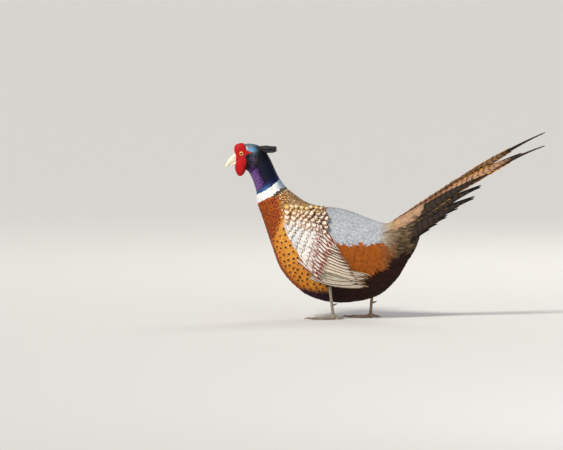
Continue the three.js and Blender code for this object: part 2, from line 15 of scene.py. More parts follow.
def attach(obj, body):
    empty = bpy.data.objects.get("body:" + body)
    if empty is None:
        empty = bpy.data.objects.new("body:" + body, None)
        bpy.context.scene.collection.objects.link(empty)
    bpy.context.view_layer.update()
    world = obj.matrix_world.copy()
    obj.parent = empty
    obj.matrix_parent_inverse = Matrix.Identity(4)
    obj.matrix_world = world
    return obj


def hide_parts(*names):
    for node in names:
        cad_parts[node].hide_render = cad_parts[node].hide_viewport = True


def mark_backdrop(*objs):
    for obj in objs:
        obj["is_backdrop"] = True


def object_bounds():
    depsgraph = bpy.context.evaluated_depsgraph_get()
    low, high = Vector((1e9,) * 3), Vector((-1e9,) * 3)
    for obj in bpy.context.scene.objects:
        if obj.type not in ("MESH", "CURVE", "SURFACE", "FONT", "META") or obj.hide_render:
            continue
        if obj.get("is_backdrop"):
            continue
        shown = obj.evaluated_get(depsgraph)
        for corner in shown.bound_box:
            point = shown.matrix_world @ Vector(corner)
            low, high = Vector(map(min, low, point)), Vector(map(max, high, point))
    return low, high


bl_info = {
    "name": "Pheasant dressing",
    "version": (1, 0, 0),
    "blender": (4, 5, 0),
    "location": "3D View > Sidebar > Pheasant",
    "description": "Skin, coat, feathers, face, legs and stage of a cock common pheasant",
    "category": "Object",
}

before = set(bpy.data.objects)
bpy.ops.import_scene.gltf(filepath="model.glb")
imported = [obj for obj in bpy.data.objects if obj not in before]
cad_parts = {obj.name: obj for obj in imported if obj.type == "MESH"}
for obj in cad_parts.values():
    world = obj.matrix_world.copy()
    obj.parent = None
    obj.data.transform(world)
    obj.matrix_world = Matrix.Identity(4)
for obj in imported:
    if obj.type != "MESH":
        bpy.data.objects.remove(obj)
CAD_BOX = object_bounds()

MM = 0.001
SHIFT = 0.35  # mm that the frame's spine is moved along X

# The body's side view in mm: front or underside x and z, back or top x and z, half width, keel
SPINE = [
    (-303.0, 322.0, -303.5, 337.0, 7.0, 0.0),
    (-305.5, 317.0, -306.0, 346.5, 12.0, 0.0),
    (-302.5, 311.5, -296.0, 355.5, 15.5, 0.0),
    (-296.0, 307.0, -278.0, 358.8, 17.5, 0.0),
    (-289.0, 304.5, -259.0, 355.0, 18.0, 0.0),
    (-281.9, 302.5, -245.0, 343.5, 18.5, 0.0),
    (-273.7, 288.0, -233.7, 324.9, 20.0, 0.0),
    (-267.5, 271.6, -224.5, 304.4, 21.5, 0.05),
    (-263.8, 257.3, -213.2, 282.9, 24.0, 0.1),
    (-263.4, 240.9, -201.9, 268.5, 29.5, 0.1),
    (-256.2, 216.3, -180.4, 252.1, 39.0, 0.15),
    (-247.0, 187.6, -157.8, 238.8, 49.0, 0.2),
    (-233.7, 148.6, -131.2, 230.6, 58.0, 0.25),
    (-213.2, 97.4, -100.4, 228.6, 64.0, 0.35),
    (-174.2, 56.4, -71.8, 222.4, 66.0, 0.45),
    (-123.0, 35.5, -47.1, 213.2, 62.0, 0.5),
    (-68.0, 34.0, -22.5, 204.0, 53.0, 0.5),
    (-14.0, 48.0, -2.0, 198.0, 41.0, 0.4),
    (24.0, 82.0, 8.0, 198.5, 30.0, 0.3),
    (43.0, 114.0, 35.0, 213.0, 25.0, 0.3),
    (60.0, 142.0, 62.0, 229.0, 19.0, 0.3),
    (69.0, 172.0, 84.0, 241.5, 12.0, 0.2),
]
SPINE_END = len(SPINE) - 1
SKIN_START, SKIN_SPAN = 0.02, 20.8  # stations where the skin starts, and how many it covers
EYE = (-293.1, 12.6, 338.6)
LEGS = {
    "left": (-1, (-126, 32, 108), (-111, 36.5, 68)),
    "right": (1, (-66, 30, 112), (-26, 34, 71)),
}


def linear(code):
    """A colour written as six hex digits, in linear light."""
    parts = [int(code[i : i + 2], 16) / 255 for i in (0, 2, 4)]
    return tuple(c / 12.92 if c <= 0.04045 else ((c + 0.055) / 1.055) ** 2.4 for c in parts)


PALETTE = {
    "crown": "2b5568",
    "crown_sheen": "b4cad2",
    "neck_black": "06070f",
    "neck_blue": "10205c",
    "neck_purple": "63398c",
    "lilac_glint": "b98ad2",
    "azure": "3f86c4",
    "cheek": "6b6078",
    "collar": "fbfaf6",
    "collar_back": "93a5bd",
    "maroon": "541610",
    "chestnut": "953a0c",
    "copper": "c2621a",
    "gold": "e0942c",
    "yellow": "f0bd62",
    "black": "0b080a",
    "cream": "f1e8d6",
    "buff": "c8a878",
    "rump": "9ca3ab",
    "rump_pale": "d2d5da",
    "rump_dark": "66717e",
    "rust": "c4660f",
    "rust_dark": "8a3d0a",
    "belly": "1a0f0b",
    "belly_purple": "241129",
    "white": "ece7e0",
    "grey_brown": "8d8073",
    "dark_brown": "3d2c24",
    "tail_tan": "b48c6b",
    "tail_pink": "b27f6c",
    "breast_orange": "dd8422",
    "breast_gold": "ffbd58",
    "flank_rust": "b8580f",
    "flank_rim": "cf7620",
}
COLOUR = {name: linear(code) for name, code in PALETTE.items()}


def blend_colour(a, b, share):
    share = min(max(share, 0.0), 1.0)
    return tuple(p + (q - p) * share for p, q in zip(a, b))


def ramp(value, low, high):
    """0 at low, 1 at high and smooth between; low may be the larger one."""
    share = min(max((value - low) / (high - low), 0.0), 1.0)
    return share * share * (3 - 2 * share)


class PheasantSizes(bpy.types.PropertyGroup):
    """Sizes and colours of the dressing that a user may change"""

    coat_depth: FloatProperty(
        name="Coat depth",
        description="How far the skin lies inside the body's outline",
        default=0.0035,
        unit="LENGTH",
    )
    voxel: FloatProperty(
        name="Skin voxel",
        description="Grain of the skin before it is smoothed",
        default=0.0022,
        unit="LENGTH",
    )
    density: FloatProperty(
        name="Feather density",
        description="How closely the body feathers are set",
        default=1.0,
        min=0.3,
        max=2.0,
    )
    seed: IntProperty(name="Seed", description="Start of every random draw", default=7)
    face_colour: FloatVectorProperty(
        name="Bare face", description="Red of the bare face", subtype="COLOR", default=linear("c80510")
    )
    bill_colour: FloatVectorProperty(
        name="Bill", description="Ivory of the bill", subtype="COLOR", default=linear("f0e8d2")
    )
    leg_colour: FloatVectorProperty(
        name="Legs", description="Grey beige of the legs", subtype="COLOR", default=linear("9a9284")
    )


def through(a, b, c, d, u):
    """A smooth curve through four values or arrays: b where u is 0 and c where it is 1."""
    return b + 0.5 * u * (c - a + u * (2 * a - 5 * b + 4 * c - d + u * (3 * (b - c) + d - a)))


def spine_row(t):
    """The side view's row at a station, also between two rows of the table."""
    i = max(0, min(int(math.floor(t)), SPINE_END - 1))
    rows = [SPINE[max(0, min(SPINE_END, k))] for k in (i - 1, i, i + 1, i + 2)]
    return [through(*values, t - i) for values in zip(*rows)]


def section(t, angle, depth=0.0):
    """A point of the body's outline in metres, at a station and an angle from the back, that far inside."""
    fx, fz, bx, bz, half, keel = spine_row(t)
    reach = math.hypot(bx - fx, bz - fz) / 2
    stretch = max(0.15, (reach - depth / MM) / reach)
    up = math.cos(angle)
    narrow = 1 - keel * ((1 - up) / 2) ** 2
    width = max(0.4, half * narrow - depth / MM)
    return Vector(
        (
            ((fx + bx) / 2 + (bx - fx) / 2 * stretch * up + SHIFT) * MM,
            width * math.sin(angle) * MM,
            ((fz + bz) / 2 + (bz - fz) / 2 * stretch * up) * MM,
        )
    )


def coat_depth(t):
    """How far the skin lies inside the outline at a station, in metres."""
    full = bpy.context.scene.pheasant.coat_depth
    return full * (0.22 + 0.18 * ramp(t, 4, 6) + 0.6 * ramp(t, 8.5, 11))


def new_object(name, mesh):
    piece = bpy.data.objects.new(name, mesh)
    bpy.context.scene.collection.objects.link(piece)
    return piece


def from_bmesh(name, bm):
    mesh = bpy.data.meshes.new(name)
    bm.to_mesh(mesh)
    bm.free()
    return new_object(name, mesh)


def set_piece(piece, material, replaced=()):
    """Rides the piece on the body and gives it its finish."""
    piece.data.materials.clear()
    piece.data.materials.append(material)
    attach(piece, "root")
    if replaced:
        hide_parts(*replaced)


def smooth(piece):
    piece.data.polygons.foreach_set("use_smooth", [True] * len(piece.data.polygons))


def even_out(piece, voxel, rounds):
    """Makes the piece one even closed surface of that grain, smoothed that many times."""
    remesh = piece.modifiers.new("remesh", "REMESH")
    remesh.mode = "VOXEL"
    remesh.voxel_size = voxel
    soften = piece.modifiers.new("soften", "SMOOTH")
    soften.iterations = rounds
    soften.factor = 0.5
    ready = bpy.context.evaluated_depsgraph_get()
    mesh = bpy.data.meshes.new_from_object(piece.evaluated_get(ready))
    piece.modifiers.clear()
    piece.data = mesh
    smooth(piece)


def tube_shell(bm, rings, around, place):
    """A closed tube: a grid whose rows become rings, its seam merged and its ends filled."""
    made = bmesh.ops.create_grid(bm, x_segments=around, y_segments=rings - 1, size=0.5)["verts"]
    made.sort(key=lambda v: (round(v.co.y, 6), round(v.co.x, 6)))
    for k, v in enumerate(made):
        row, column = divmod(k, around + 1)
        v.co = place(row / (rings - 1), 2 * math.pi * column / around)
    bmesh.ops.remove_doubles(bm, verts=made, dist=1e-6)
    ends = [e for e in bm.edges if e.is_boundary]
    bmesh.ops.holes_fill(bm, edges=ends, sides=0)
    bmesh.ops.recalc_face_normals(bm, faces=bm.faces)


# Materials


class Graph:
    """Short ways to lay out a material's nodes."""

    def __init__(self, name):
        self.material = bpy.data.materials.new(name)
        self.material.use_nodes = True
        self.tree = self.material.node_tree
        self.shader = self.tree.nodes["Principled BSDF"]

    def feed(self, socket, value):
        if hasattr(value, "is_output"):
            self.tree.links.new(value, socket)
        elif value is not None:
            socket.default_value = value

    def math(self, operation, a, b=None, c=None, clamp=False):
        node = self.tree.nodes.new("ShaderNodeMath")
        node.operation = operation
        node.use_clamp = clamp
        for socket, value in zip(node.inputs, (a, b, c)):
            self.feed(socket, value)
        return node.outputs[0]

    def step(self, value, low, high, start=0.0, end=1.0):
        node = self.tree.nodes.new("ShaderNodeMapRange")
        node.interpolation_type = "SMOOTHSTEP"
        ends = (("Value", value), ("From Min", low), ("From Max", high), ("To Min", start), ("To Max", end))
        for key, item in ends:
            self.feed(node.inputs[key], item)
        return node.outputs["Result"]

    def mix(self, share, a, b, blend="MIX"):
        node = self.tree.nodes.new("ShaderNodeMix")
        node.data_type = "RGBA"
        node.blend_type = blend
        self.feed(node.inputs["Factor"], share)
        for key, item in ((6, a), (7, b)):
            if isinstance(item, tuple):
                item = (*item[:3], 1.0)
            self.feed(node.inputs[key], item)
        return node.outputs[2]

    def shaded(self, colour, shade):
        return self.mix(1.0, colour, self.join(shade, shade, shade), "MULTIPLY")

    def attribute(self, name, output="Color"):
        node = self.tree.nodes.new("ShaderNodeAttribute")
        node.attribute_name = name
        return node.outputs[output]

    def place(self):
        return self.tree.nodes.new("ShaderNodeTexCoord").outputs["Object"]

    def stretch(self, vector, scale):
        node = self.tree.nodes.new("ShaderNodeMapping")
        self.feed(node.inputs["Vector"], vector)
        node.inputs["Scale"].default_value = scale
        return node.outputs[0]

    def noise(self, vector, scale, detail=3.0, rough=0.55):
        node = self.tree.nodes.new("ShaderNodeTexNoise")
        self.feed(node.inputs["Vector"], vector)
        node.inputs["Scale"].default_value = scale
        node.inputs["Detail"].default_value = detail
        node.inputs["Roughness"].default_value = rough
        return node.outputs["Fac"]

    def cells(self, vector, scale, feature="F1", output="Distance"):
        node = self.tree.nodes.new("ShaderNodeTexVoronoi")
        node.feature = feature
        self.feed(node.inputs["Vector"], vector)
        node.inputs["Scale"].default_value = scale
        return node.outputs[output]

    def parts(self, vector):
        node = self.tree.nodes.new("ShaderNodeSeparateXYZ")
        self.feed(node.inputs[0], vector)
        return node.outputs

    def join(self, x, y, z=0.0):
        node = self.tree.nodes.new("ShaderNodeCombineXYZ")
        for socket, value in zip(node.inputs, (x, y, z)):
            self.feed(socket, value)
        return node.outputs[0]

    def bump(self, height, strength, distance, normal=None):
        node = self.tree.nodes.new("ShaderNodeBump")
        self.feed(node.inputs["Height"], height)
        node.inputs["Strength"].default_value = strength
        node.inputs["Distance"].default_value = distance
        self.feed(node.inputs["Normal"], normal)
        return node.outputs[0]

    def finish(self, colour, roughness, normal=None, **sockets):
        if isinstance(colour, tuple):
            colour = (*colour[:3], 1.0)
        self.feed(self.shader.inputs["Base Color"], colour)
        self.feed(self.shader.inputs["Roughness"], roughness)
        self.feed(self.shader.inputs["Normal"], normal)
        for key, value in sockets.items():
            self.shader.inputs[key.replace("_", " ")].default_value = value
        return self.material


def blade_places(g):
    """Along the blade, across it from 0 at the shaft to 1 at the edge, and how near its rim."""
    uv = g.tree.nodes.new("ShaderNodeUVMap")
    uv.uv_map = "Blade"
    x, y, _ = g.parts(uv.outputs[0])
    across = g.math("ABSOLUTE", g.math("MULTIPLY_ADD", x, 2.0, -1.0))
    tip = g.math("DIVIDE", g.math("SUBTRACT", y, 0.6), 0.4, clamp=True)
    rim = g.math("SQRT", g.math("ADD", g.math("POWER", across, 2.0), g.math("POWER", tip, 2.0)))
    return y, across, rim


def barbs(g, y, across, count):
    """Fine ribs that run from the shaft out and towards the tip."""
    slant = g.math("SUBTRACT", y, g.math("MULTIPLY", across, 0.16))
    wave = g.math("SINE", g.math("MULTIPLY", slant, count * 6.283))
    return g.math("MULTIPLY_ADD", wave, 0.5, 0.5)


def plumage_material(name, roughness=0.6, count=26.0, mottle=0.25, bump=0.35, **sockets):
    """Feathers whose colours are kept with each feather: its middle, its rim and its mark."""
    g = Graph(name)
    y, across, rim = blade_places(g)
    where = g.place()
    wobble = g.noise(where, 420.0, 2.0)
    rim = g.math("ADD", rim, g.math("MULTIPLY_ADD", wobble, 0.24, -0.12))
    start, spot, streak = g.parts(g.attribute("marks", "Vector"))
    rim_share = g.step(rim, start, g.math("ADD", start, 0.1))
    centre = g.math("POWER", g.math("DIVIDE", across, 0.62), 2.0)
    height = g.math("POWER", g.math("DIVIDE", g.math("SUBTRACT", y, 0.79), 0.18), 2.0)
    size = g.math("MAXIMUM", g.math("MULTIPLY", spot, spot), 0.001)
    spot_share = g.step(g.math("DIVIDE", g.math("ADD", centre, height), size), 1.15, 0.7)
    streak_edge = g.math("ADD", across, g.math("MULTIPLY", g.math("SUBTRACT", y, 0.5), 0.25))
    streak_share = g.math("MULTIPLY", g.step(streak_edge, 0.42, 0.26), streak)
    colour = g.mix(rim_share, g.attribute("tone"), g.attribute("rim"))
    colour = g.mix(g.math("MAXIMUM", spot_share, streak_share), colour, g.attribute("mark"))
    ribs = barbs(g, y, across, count)
    shade = g.step(g.noise(where, 170.0, 4.0, 0.65), 0.25, 0.75, 1.0 - mottle, 1.0 + mottle * 0.6)
    shade = g.math("MULTIPLY", shade, g.step(ribs, 0.0, 1.0, 0.82, 1.06))
    # Painted shade: each feather darker towards its root, where its neighbours overlap it
    root = g.step(y, 0.0, 0.45, 0.78, 1.0)
    colour = g.shaded(colour, g.math("MULTIPLY", shade, root))
    normal = g.bump(ribs, bump, 0.0006)
    return g.finish(colour, roughness, normal, **sockets)


def ringed_material(name):
    """Feathers with a pale middle, a dark ring inside their rim and a lighter fringe."""
    g = Graph(name)
    y, across, rim = blade_places(g)
    where = g.place()
    rim = g.math("ADD", rim, g.math("MULTIPLY_ADD", g.noise(where, 380.0, 3.0), 0.3, -0.15))
    start, end, root = g.parts(g.attribute("marks", "Vector"))
    colour = g.mix(g.step(rim, start, g.math("ADD", start, 0.09)), g.attribute("tone"), g.attribute("mark"))
    colour = g.mix(g.step(rim, end, g.math("ADD", end, 0.09)), colour, g.attribute("rim"))
    colour = g.mix(g.math("MULTIPLY", g.step(y, 0.42, 0.12), root), colour, g.attribute("mark"))
    colour = g.mix(g.math("MULTIPLY", g.step(across, 0.09, 0.03), 0.3), colour, g.attribute("mark"))
    ribs = barbs(g, y, across, 30.0)
    cloud = g.step(g.noise(where, 200.0, 4.0), 0.3, 0.7, 0.86, 1.08)
    colour = g.shaded(colour, g.math("MULTIPLY", cloud, g.step(ribs, 0.0, 1.0, 0.9, 1.04)))
    return g.finish(colour, 0.62, g.bump(ribs, 0.2, 0.0005), Specular_IOR_Level=0.25)


def tail_material(name):
    """Long tan feathers with narrow black bars, pink-brown sides and pale fringes; the lower ones darkened
    with painted shade.
    """
    g = Graph(name)
    y, across, _ = blade_places(g)
    where = g.place()
    # The marks hold the count of bars along the feather, where the black tip starts, and a painted-shade
    # factor that is below 1 on the lower feathers
    bars, tip, dark = g.parts(g.attribute("marks", "Vector"))
    slant = g.math("SUBTRACT", y, g.math("MULTIPLY", across, 0.02))
    wobble = g.math("MULTIPLY_ADD", g.noise(where, 90.0, 2.0), 0.6, -0.3)
    phase = g.math("FRACT", g.math("ADD", g.math("MULTIPLY", slant, bars), wobble))
    bar = g.math("MULTIPLY", g.step(phase, 0.62, 0.72), g.step(phase, 0.98, 0.9))
    bar = g.math("MULTIPLY", bar, g.step(across, 0.98, 0.7, 0.1, 1.0))
    colour = g.mix(g.step(across, 0.35, 0.8), g.attribute("tone"), g.attribute("rim"))
    speckle = g.step(g.noise(where, 900.0, 3.0, 0.7), 0.42, 0.62)
    colour = g.mix(g.math("MULTIPLY", speckle, 0.25), colour, COLOUR["dark_brown"])
    colour = g.mix(g.math("MULTIPLY", bar, 0.9), colour, g.attribute("mark"))
    colour = g.mix(g.step(y, g.math("SUBTRACT", tip, 0.12), tip, 0.0, 0.92), colour, COLOUR["black"])
    colour = g.mix(g.step(across, 0.07, 0.03), colour, COLOUR["dark_brown"])
    ribs = barbs(g, y, across, 70.0)
    cloud = g.step(g.noise(where, 60.0), 0.3, 0.7, 0.85, 1.1)
    shade = g.math("MULTIPLY", g.step(ribs, 0.0, 1.0, 0.82, 1.08), cloud)
    # Painted shade: the lower feathers' colour is multiplied down by their dark factor
    colour = g.shaded(colour, g.math("MULTIPLY", shade, dark))
    return g.finish(colour, 0.64, g.bump(ribs, 0.3, 0.0006), Specular_IOR_Level=0.2)


def skin_material(name):
    g = Graph(name)
    shade = g.step(g.noise(g.place(), 300.0, 4.0), 0.3, 0.7, 0.5, 0.85)
    colour = g.shaded(g.attribute("tone"), shade)
    return g.finish(colour, 0.8, g.bump(g.noise(g.place(), 900.0), 0.4, 0.0008))


def face_material(name, red):
    """Bare red skin: velvety papillae, painted shade in the folds and round the eye's socket, a paler rim to
    the lids, with pin-point dark feather stubs.
    """
    g = Graph(name)
    where = g.place()
    beads = g.cells(where, 1250.0)
    large = g.noise(where, 130.0, 3.0)
    colour = g.mix(g.step(beads, 0.2, 0.8), red, tuple(c * 0.62 for c in red))
    colour = g.mix(g.step(large, 0.4, 0.75, 0.0, 0.25), colour, linear("e0181a"))
    stubs = g.step(g.cells(where, 620.0), 0.12, 0.06)
    colour = g.mix(g.math("MULTIPLY", stubs, 0.7), colour, linear("2a0508"))
    # Painted shade in the creases and the eye's socket where the fold weight is high; below zero, on the
    # lids' rim, their own paler colour
    colour = g.mix(g.step(g.attribute("fold", "Fac"), 0.25, 1.9), colour, linear("4a0206"))
    colour = g.mix(g.step(g.attribute("fold", "Fac"), -0.35, -0.8, 0.0, 0.85), colour, linear("cf6a44"))
    normal = g.bump(beads, -0.6, 0.0005)
    normal = g.bump(large, 0.4, 0.0015, normal)
    g.shader.inputs["Specular IOR Level"].default_value = 0.25
    return g.finish(colour, 0.58, normal, Subsurface_Weight=0.04, Subsurface_Radius=(0.003, 0.0008, 0.0005))


def bill_material(name, ivory):
    g = Graph(name)
    where = g.place()
    streaks = g.noise(g.stretch(where, (1.0, 1.6, 0.5)), 520.0, 4.0)
    grey = g.noise(where, 110.0, 2.0)
    colour = g.mix(g.step(streaks, 0.35, 0.75, 0.0, 0.4), ivory, linear("c4b48e"))
    colour = g.mix(g.step(grey, 0.55, 0.8, 0.0, 0.3), colour, linear("a09a8c"))
    return g.finish(colour, 0.38, g.bump(streaks, 0.25, 0.0004), Coat_Weight=0.2, Coat_Roughness=0.25)


def leg_material(name, beige):
    """Broad scutes round the shank and over the toes, with small scales between them."""
    g = Graph(name)
    where = g.place()
    x, y, z = g.parts(where)
    toes = g.step(z, 0.016, 0.012)
    run = g.math("MULTIPLY_ADD", toes, g.math("SUBTRACT", x, z), z)
    wander = g.math("MULTIPLY", g.noise(where, 260.0, 2.0), 0.9)
    wave = g.math("ABSOLUTE", g.math("SINE", g.math("MULTIPLY_ADD", run, 980.0, wander)))
    scutes = g.step(wave, 0.0, 0.3)
    small = g.step(g.cells(g.stretch(where, (1.0, 1.0, 0.8)), 900.0, "DISTANCE_TO_EDGE"), 0.0, 0.12)
    height = g.math("MULTIPLY", scutes, g.math("MULTIPLY_ADD", small, 0.4, 0.6))
    tint = g.noise(where, 240.0, 3.0)
    colour = g.mix(g.step(tint, 0.3, 0.7), beige, linear("86705a"))
    colour = g.mix(g.math("MULTIPLY_ADD", height, 0.75, 0.25), linear("4a3d32"), colour)
    return g.finish(colour, 0.5, g.bump(height, 0.45, 0.0004), Coat_Weight=0.08)


def horn_material(name):
    g = Graph(name)
    streaks = g.noise(g.place(), 700.0, 3.0)
    colour = g.mix(g.step(streaks, 0.3, 0.7), linear("39302a"), linear("7b6b58"))
    return g.finish(colour, 0.35, g.bump(streaks, 0.2, 0.0003), Coat_Weight=0.2)


def eye_material(name):
    """Pupil, fibrous orange iris and dark rim, read from how far each point turns from the eye's axis."""
    g = Graph(name)
    turn = g.attribute("turn", "Fac")
    fibres = g.noise(g.stretch(g.place(), (1.0, 0.3, 1.0)), 1500.0, 3.0)
    iris = g.mix(g.step(fibres, 0.3, 0.7), linear("d9700c"), linear("ffb030"))
    iris = g.mix(g.step(turn, 0.62, 0.8), iris, linear("6a2c08"))
    colour = g.mix(g.step(turn, 0.33, 0.37), COLOUR["black"], iris)
    colour = g.mix(g.step(turn, 0.8, 0.88), colour, linear("1a0d08"))
    return g.finish(colour, 0.12, None, Coat_Weight=1.0, Coat_Roughness=0.02)


# Skin and where things lie on it


class Body:
    """The skin's surface, found by station and angle, or by nearness."""

    tree = None
    places = None
    grid = []

    @classmethod
    def prepare(cls, mesh):
        bm = bmesh.new()
        bm.from_mesh(mesh)
        cls.tree = BVHTree.FromBMesh(bm)
        bm.free()
        cls.grid = [(t / 8, a * math.pi / 24) for t in range(0, SPINE_END * 8 + 1) for a in range(-24, 24)]
        cls.places = KDTree(len(cls.grid))
        for i, (t, a) in enumerate(cls.grid):
            cls.places.insert(section(t, a, coat_depth(t)), i)
        cls.places.balance()

    @classmethod
    def at(cls, t, angle):
        """Root, way out and way back along the body at a station and an angle."""
        guess = section(t, angle, coat_depth(t))
        spot, out, _, _ = cls.tree.find_nearest(guess)
        ahead = section(min(t + 0.05, SPINE_END), angle) - section(t - 0.05, angle)
        ahead = (ahead - out * ahead.dot(out)).normalized()
        return spot, out, ahead

    @classmethod
    def side(cls, x, z):
        """How far the body reaches to its side at a place of its side view, in metres."""
        hit = cls.tree.ray_cast(Vector((x, -0.5, z)), Vector((0, 1, 0)))
        return -hit[0].y if hit[0] else 0.0


def near(x, z, cx, cz, rx, rz):
    """1 at a centre of the side view, 0 beyond its radii."""
    return max(0.0, 1 - ((x - cx) / rx) ** 2 - ((z - cz) / rz) ** 2)


# Where the chestnut of the chest ends (z, then x), and the lower edges of the tail's bright top and of the
# flank's long feathers (x, then z), in mm
CHEST_EDGE = (
    (110, 138, 167, 190, 211, 225, 245, 262, 285),
    (-236, -238, -230, -221, -212, -212, -216, -222, -230),
)
TAIL_EDGE = ((9, 58, 111), (173, 201, 239))
FLANK_EDGE = ((-110, -46, -12, 10), (92, 100, 117, 138))


def grow(kind, tone, rim, length, wide, **more):
    """What grows at a place: colours, marks, length in mm, half width as a share of it, slant and strands."""
    plain = dict(mark=COLOUR["black"], marks=(0.95, 0, 0), slant=0, strands=0, gap=0)
    return dict(plain, kind=kind, tone=tone, rim=rim, length=length, wide=wide, **more)


def head_zone(t, turn, x, z):
    c, r = COLOUR, random.random
    if x < -300.5:
        red = tuple(bpy.context.scene.pheasant.face_colour)
        return grow("none", red, red, 1, 1)
    top = ramp(turn, 85, 50)
    tone = blend_colour(c["neck_black"], c["crown"], top * ramp(t, 4.7, 3.1))
    # Painted sheen: whitish-blue glints of the crown's gloss over its front part, random in strength
    tone = blend_colour(tone, c["crown_sheen"], top * ramp(t, 4.4, 2.8) * (0.1 + 0.7 * r()))
    tone = blend_colour(tone, c["azure"], near(x, z, -273, 347.5, 9, 6) * (0.4 + 0.6 * r()))
    tone = blend_colour(tone, c["cheek"], near(x, z, -272, 327, 12, 15) * r())
    tone = blend_colour(tone, c["neck_purple"], ramp(turn, 100, 130) * ramp(t, 4.0, 5.2) * r())
    return grow("head", tone, blend_colour(tone, c["neck_black"], 0.5), 5.0, 0.24, marks=(0.8, 0, 0))


def neck_zone(t, turn):
    c, r = COLOUR, random.random
    turn = turn + 16 * (r() - 0.5)
    front = ramp(turn, 90, 122)
    tone = blend_colour(c["neck_black"], c["neck_blue"], 0.2 + 0.7 * ramp(t, 6.8, 7.9))
    tone = blend_colour(tone, c["neck_purple"], front * ramp(t, 8.1, 7.2) * (0.6 + 0.4 * r()))
    # Painted highlight: random bright lilac glints on the front of the upper neck
    tone = blend_colour(tone, c["lilac_glint"], ramp(turn, 98, 125) * ramp(t, 8.0, 7.0) * (0.12 + 0.6 * r() ** 1.5))
    tone = blend_colour(tone, c["azure"], ramp(t, 7.2, 7.8) * ramp(turn, 60, 115) * (0.25 + 0.6 * r()))
    return grow("neck", tone, blend_colour(tone, c["neck_black"], 0.55), 6.4, 0.23, marks=(0.8, 0, 0))


def rear_zone(turn, x, z):
    """Rump, flank, fringes, tail base and belly, or nothing where the breast or mantle goes on."""
    c, r = COLOUR, random.random
    x, z = x + 6 * (r() - 0.5), z + 14 * (r() - 0.5)
    if x > 10 and z > 126:
        if z > np.interp(x, *TAIL_EDGE) + 1:
            tone = blend_colour(blend_colour(c["tail_tan"], c["tail_pink"], r()), c["yellow"], 0.5 * r() ** 2)
            rim = blend_colour(c["tail_tan"], c["cream"], 0.4 * r())
            return grow("tail_base", tone, rim, 28, 0.05, mark=c["dark_brown"], marks=(0.9, 0, 0.2))
        if x < 38 and z > 136:
            tone = blend_colour(c["belly"], c["buff"], 0.6 * r() ** 2.2)
            return grow("flank", tone, blend_colour(tone, c["buff"], 0.15), 25, 0.05, slant=26, strands=2)
        tone = blend_colour(c["belly"], c["dark_brown"], r())
        return grow("belly", tone, blend_colour(tone, c["buff"], 0.25), 26, 0.1, strands=2, slant=4)
    if x > -126 + 0.25 * max(0, 190 - z) and turn < 100 and z > 160:
        fringe = ramp(x, -26, 10)
        if x > -14 and turn > 38:
            tone = blend_colour(c["rump_pale"], c["buff"], 0.3 + 0.6 * fringe)
            tone = blend_colour(tone, c["dark_brown"], fringe * (0.35 + 0.65 * r()))
            return grow("flank", tone, blend_colour(tone, c["buff"], 0.3), 25, 0.05, slant=36, strands=3)
        cloud = 0.5 + 0.5 * math.sin(x * 0.31 + 2 * math.sin(z * 0.23)) * math.sin(z * 0.37 + x * 0.11)
        tone = blend_colour(c["rump"], c["rump_pale"], 0.65 * r() + 0.35 * cloud)
        speck = 0.5 if r() > 0.76 else 0.0
        tone = blend_colour(tone, c["rump_dark"], 0.3 * ramp(turn, 60, 25) * (1 - cloud) + speck)
        tone = blend_colour(tone, c["white"], 0.6 if r() > 0.72 else 0.0)
        tone = blend_colour(tone, c["tail_tan"], fringe * 0.8)
        rim = blend_colour(c["rump_pale"], c["buff"], fringe)
        slant = 10 * ramp(turn, 30, 70)
        return grow("rump", tone, rim, 11.5, 0.12, mark=c["rump_dark"], marks=(0.72, 0, 0.45), slant=slant)
    if x > -114 and z <= 168 and turn < 150 and z > np.interp(x, *FLANK_EDGE):
        fade = ramp(x, -22, 12)
        tone = blend_colour(blend_colour(c["flank_rust"], c["rust_dark"], r()), c["dark_brown"], fade * 0.8)
        rim = blend_colour(c["flank_rim"], blend_colour(c["buff"], c["dark_brown"], r()), fade)
        more = dict(mark=c["rust_dark"], marks=(0.85, 0, 0.4), slant=66 - 24 * fade, strands=4)
        return grow("flank", tone, rim, 21, 0.05, **more)
    if (x > -124 and z < 112) or z < np.interp(x, (-200, -120), (66, 54)) or x > -60:
        tone = blend_colour(c["belly"], c["belly_purple"], ramp(x, -60, -170))
        return grow("belly", tone, blend_colour(tone, c["rust_dark"], 0.25), 21, 0.1, slant=12, strands=2)
    return None


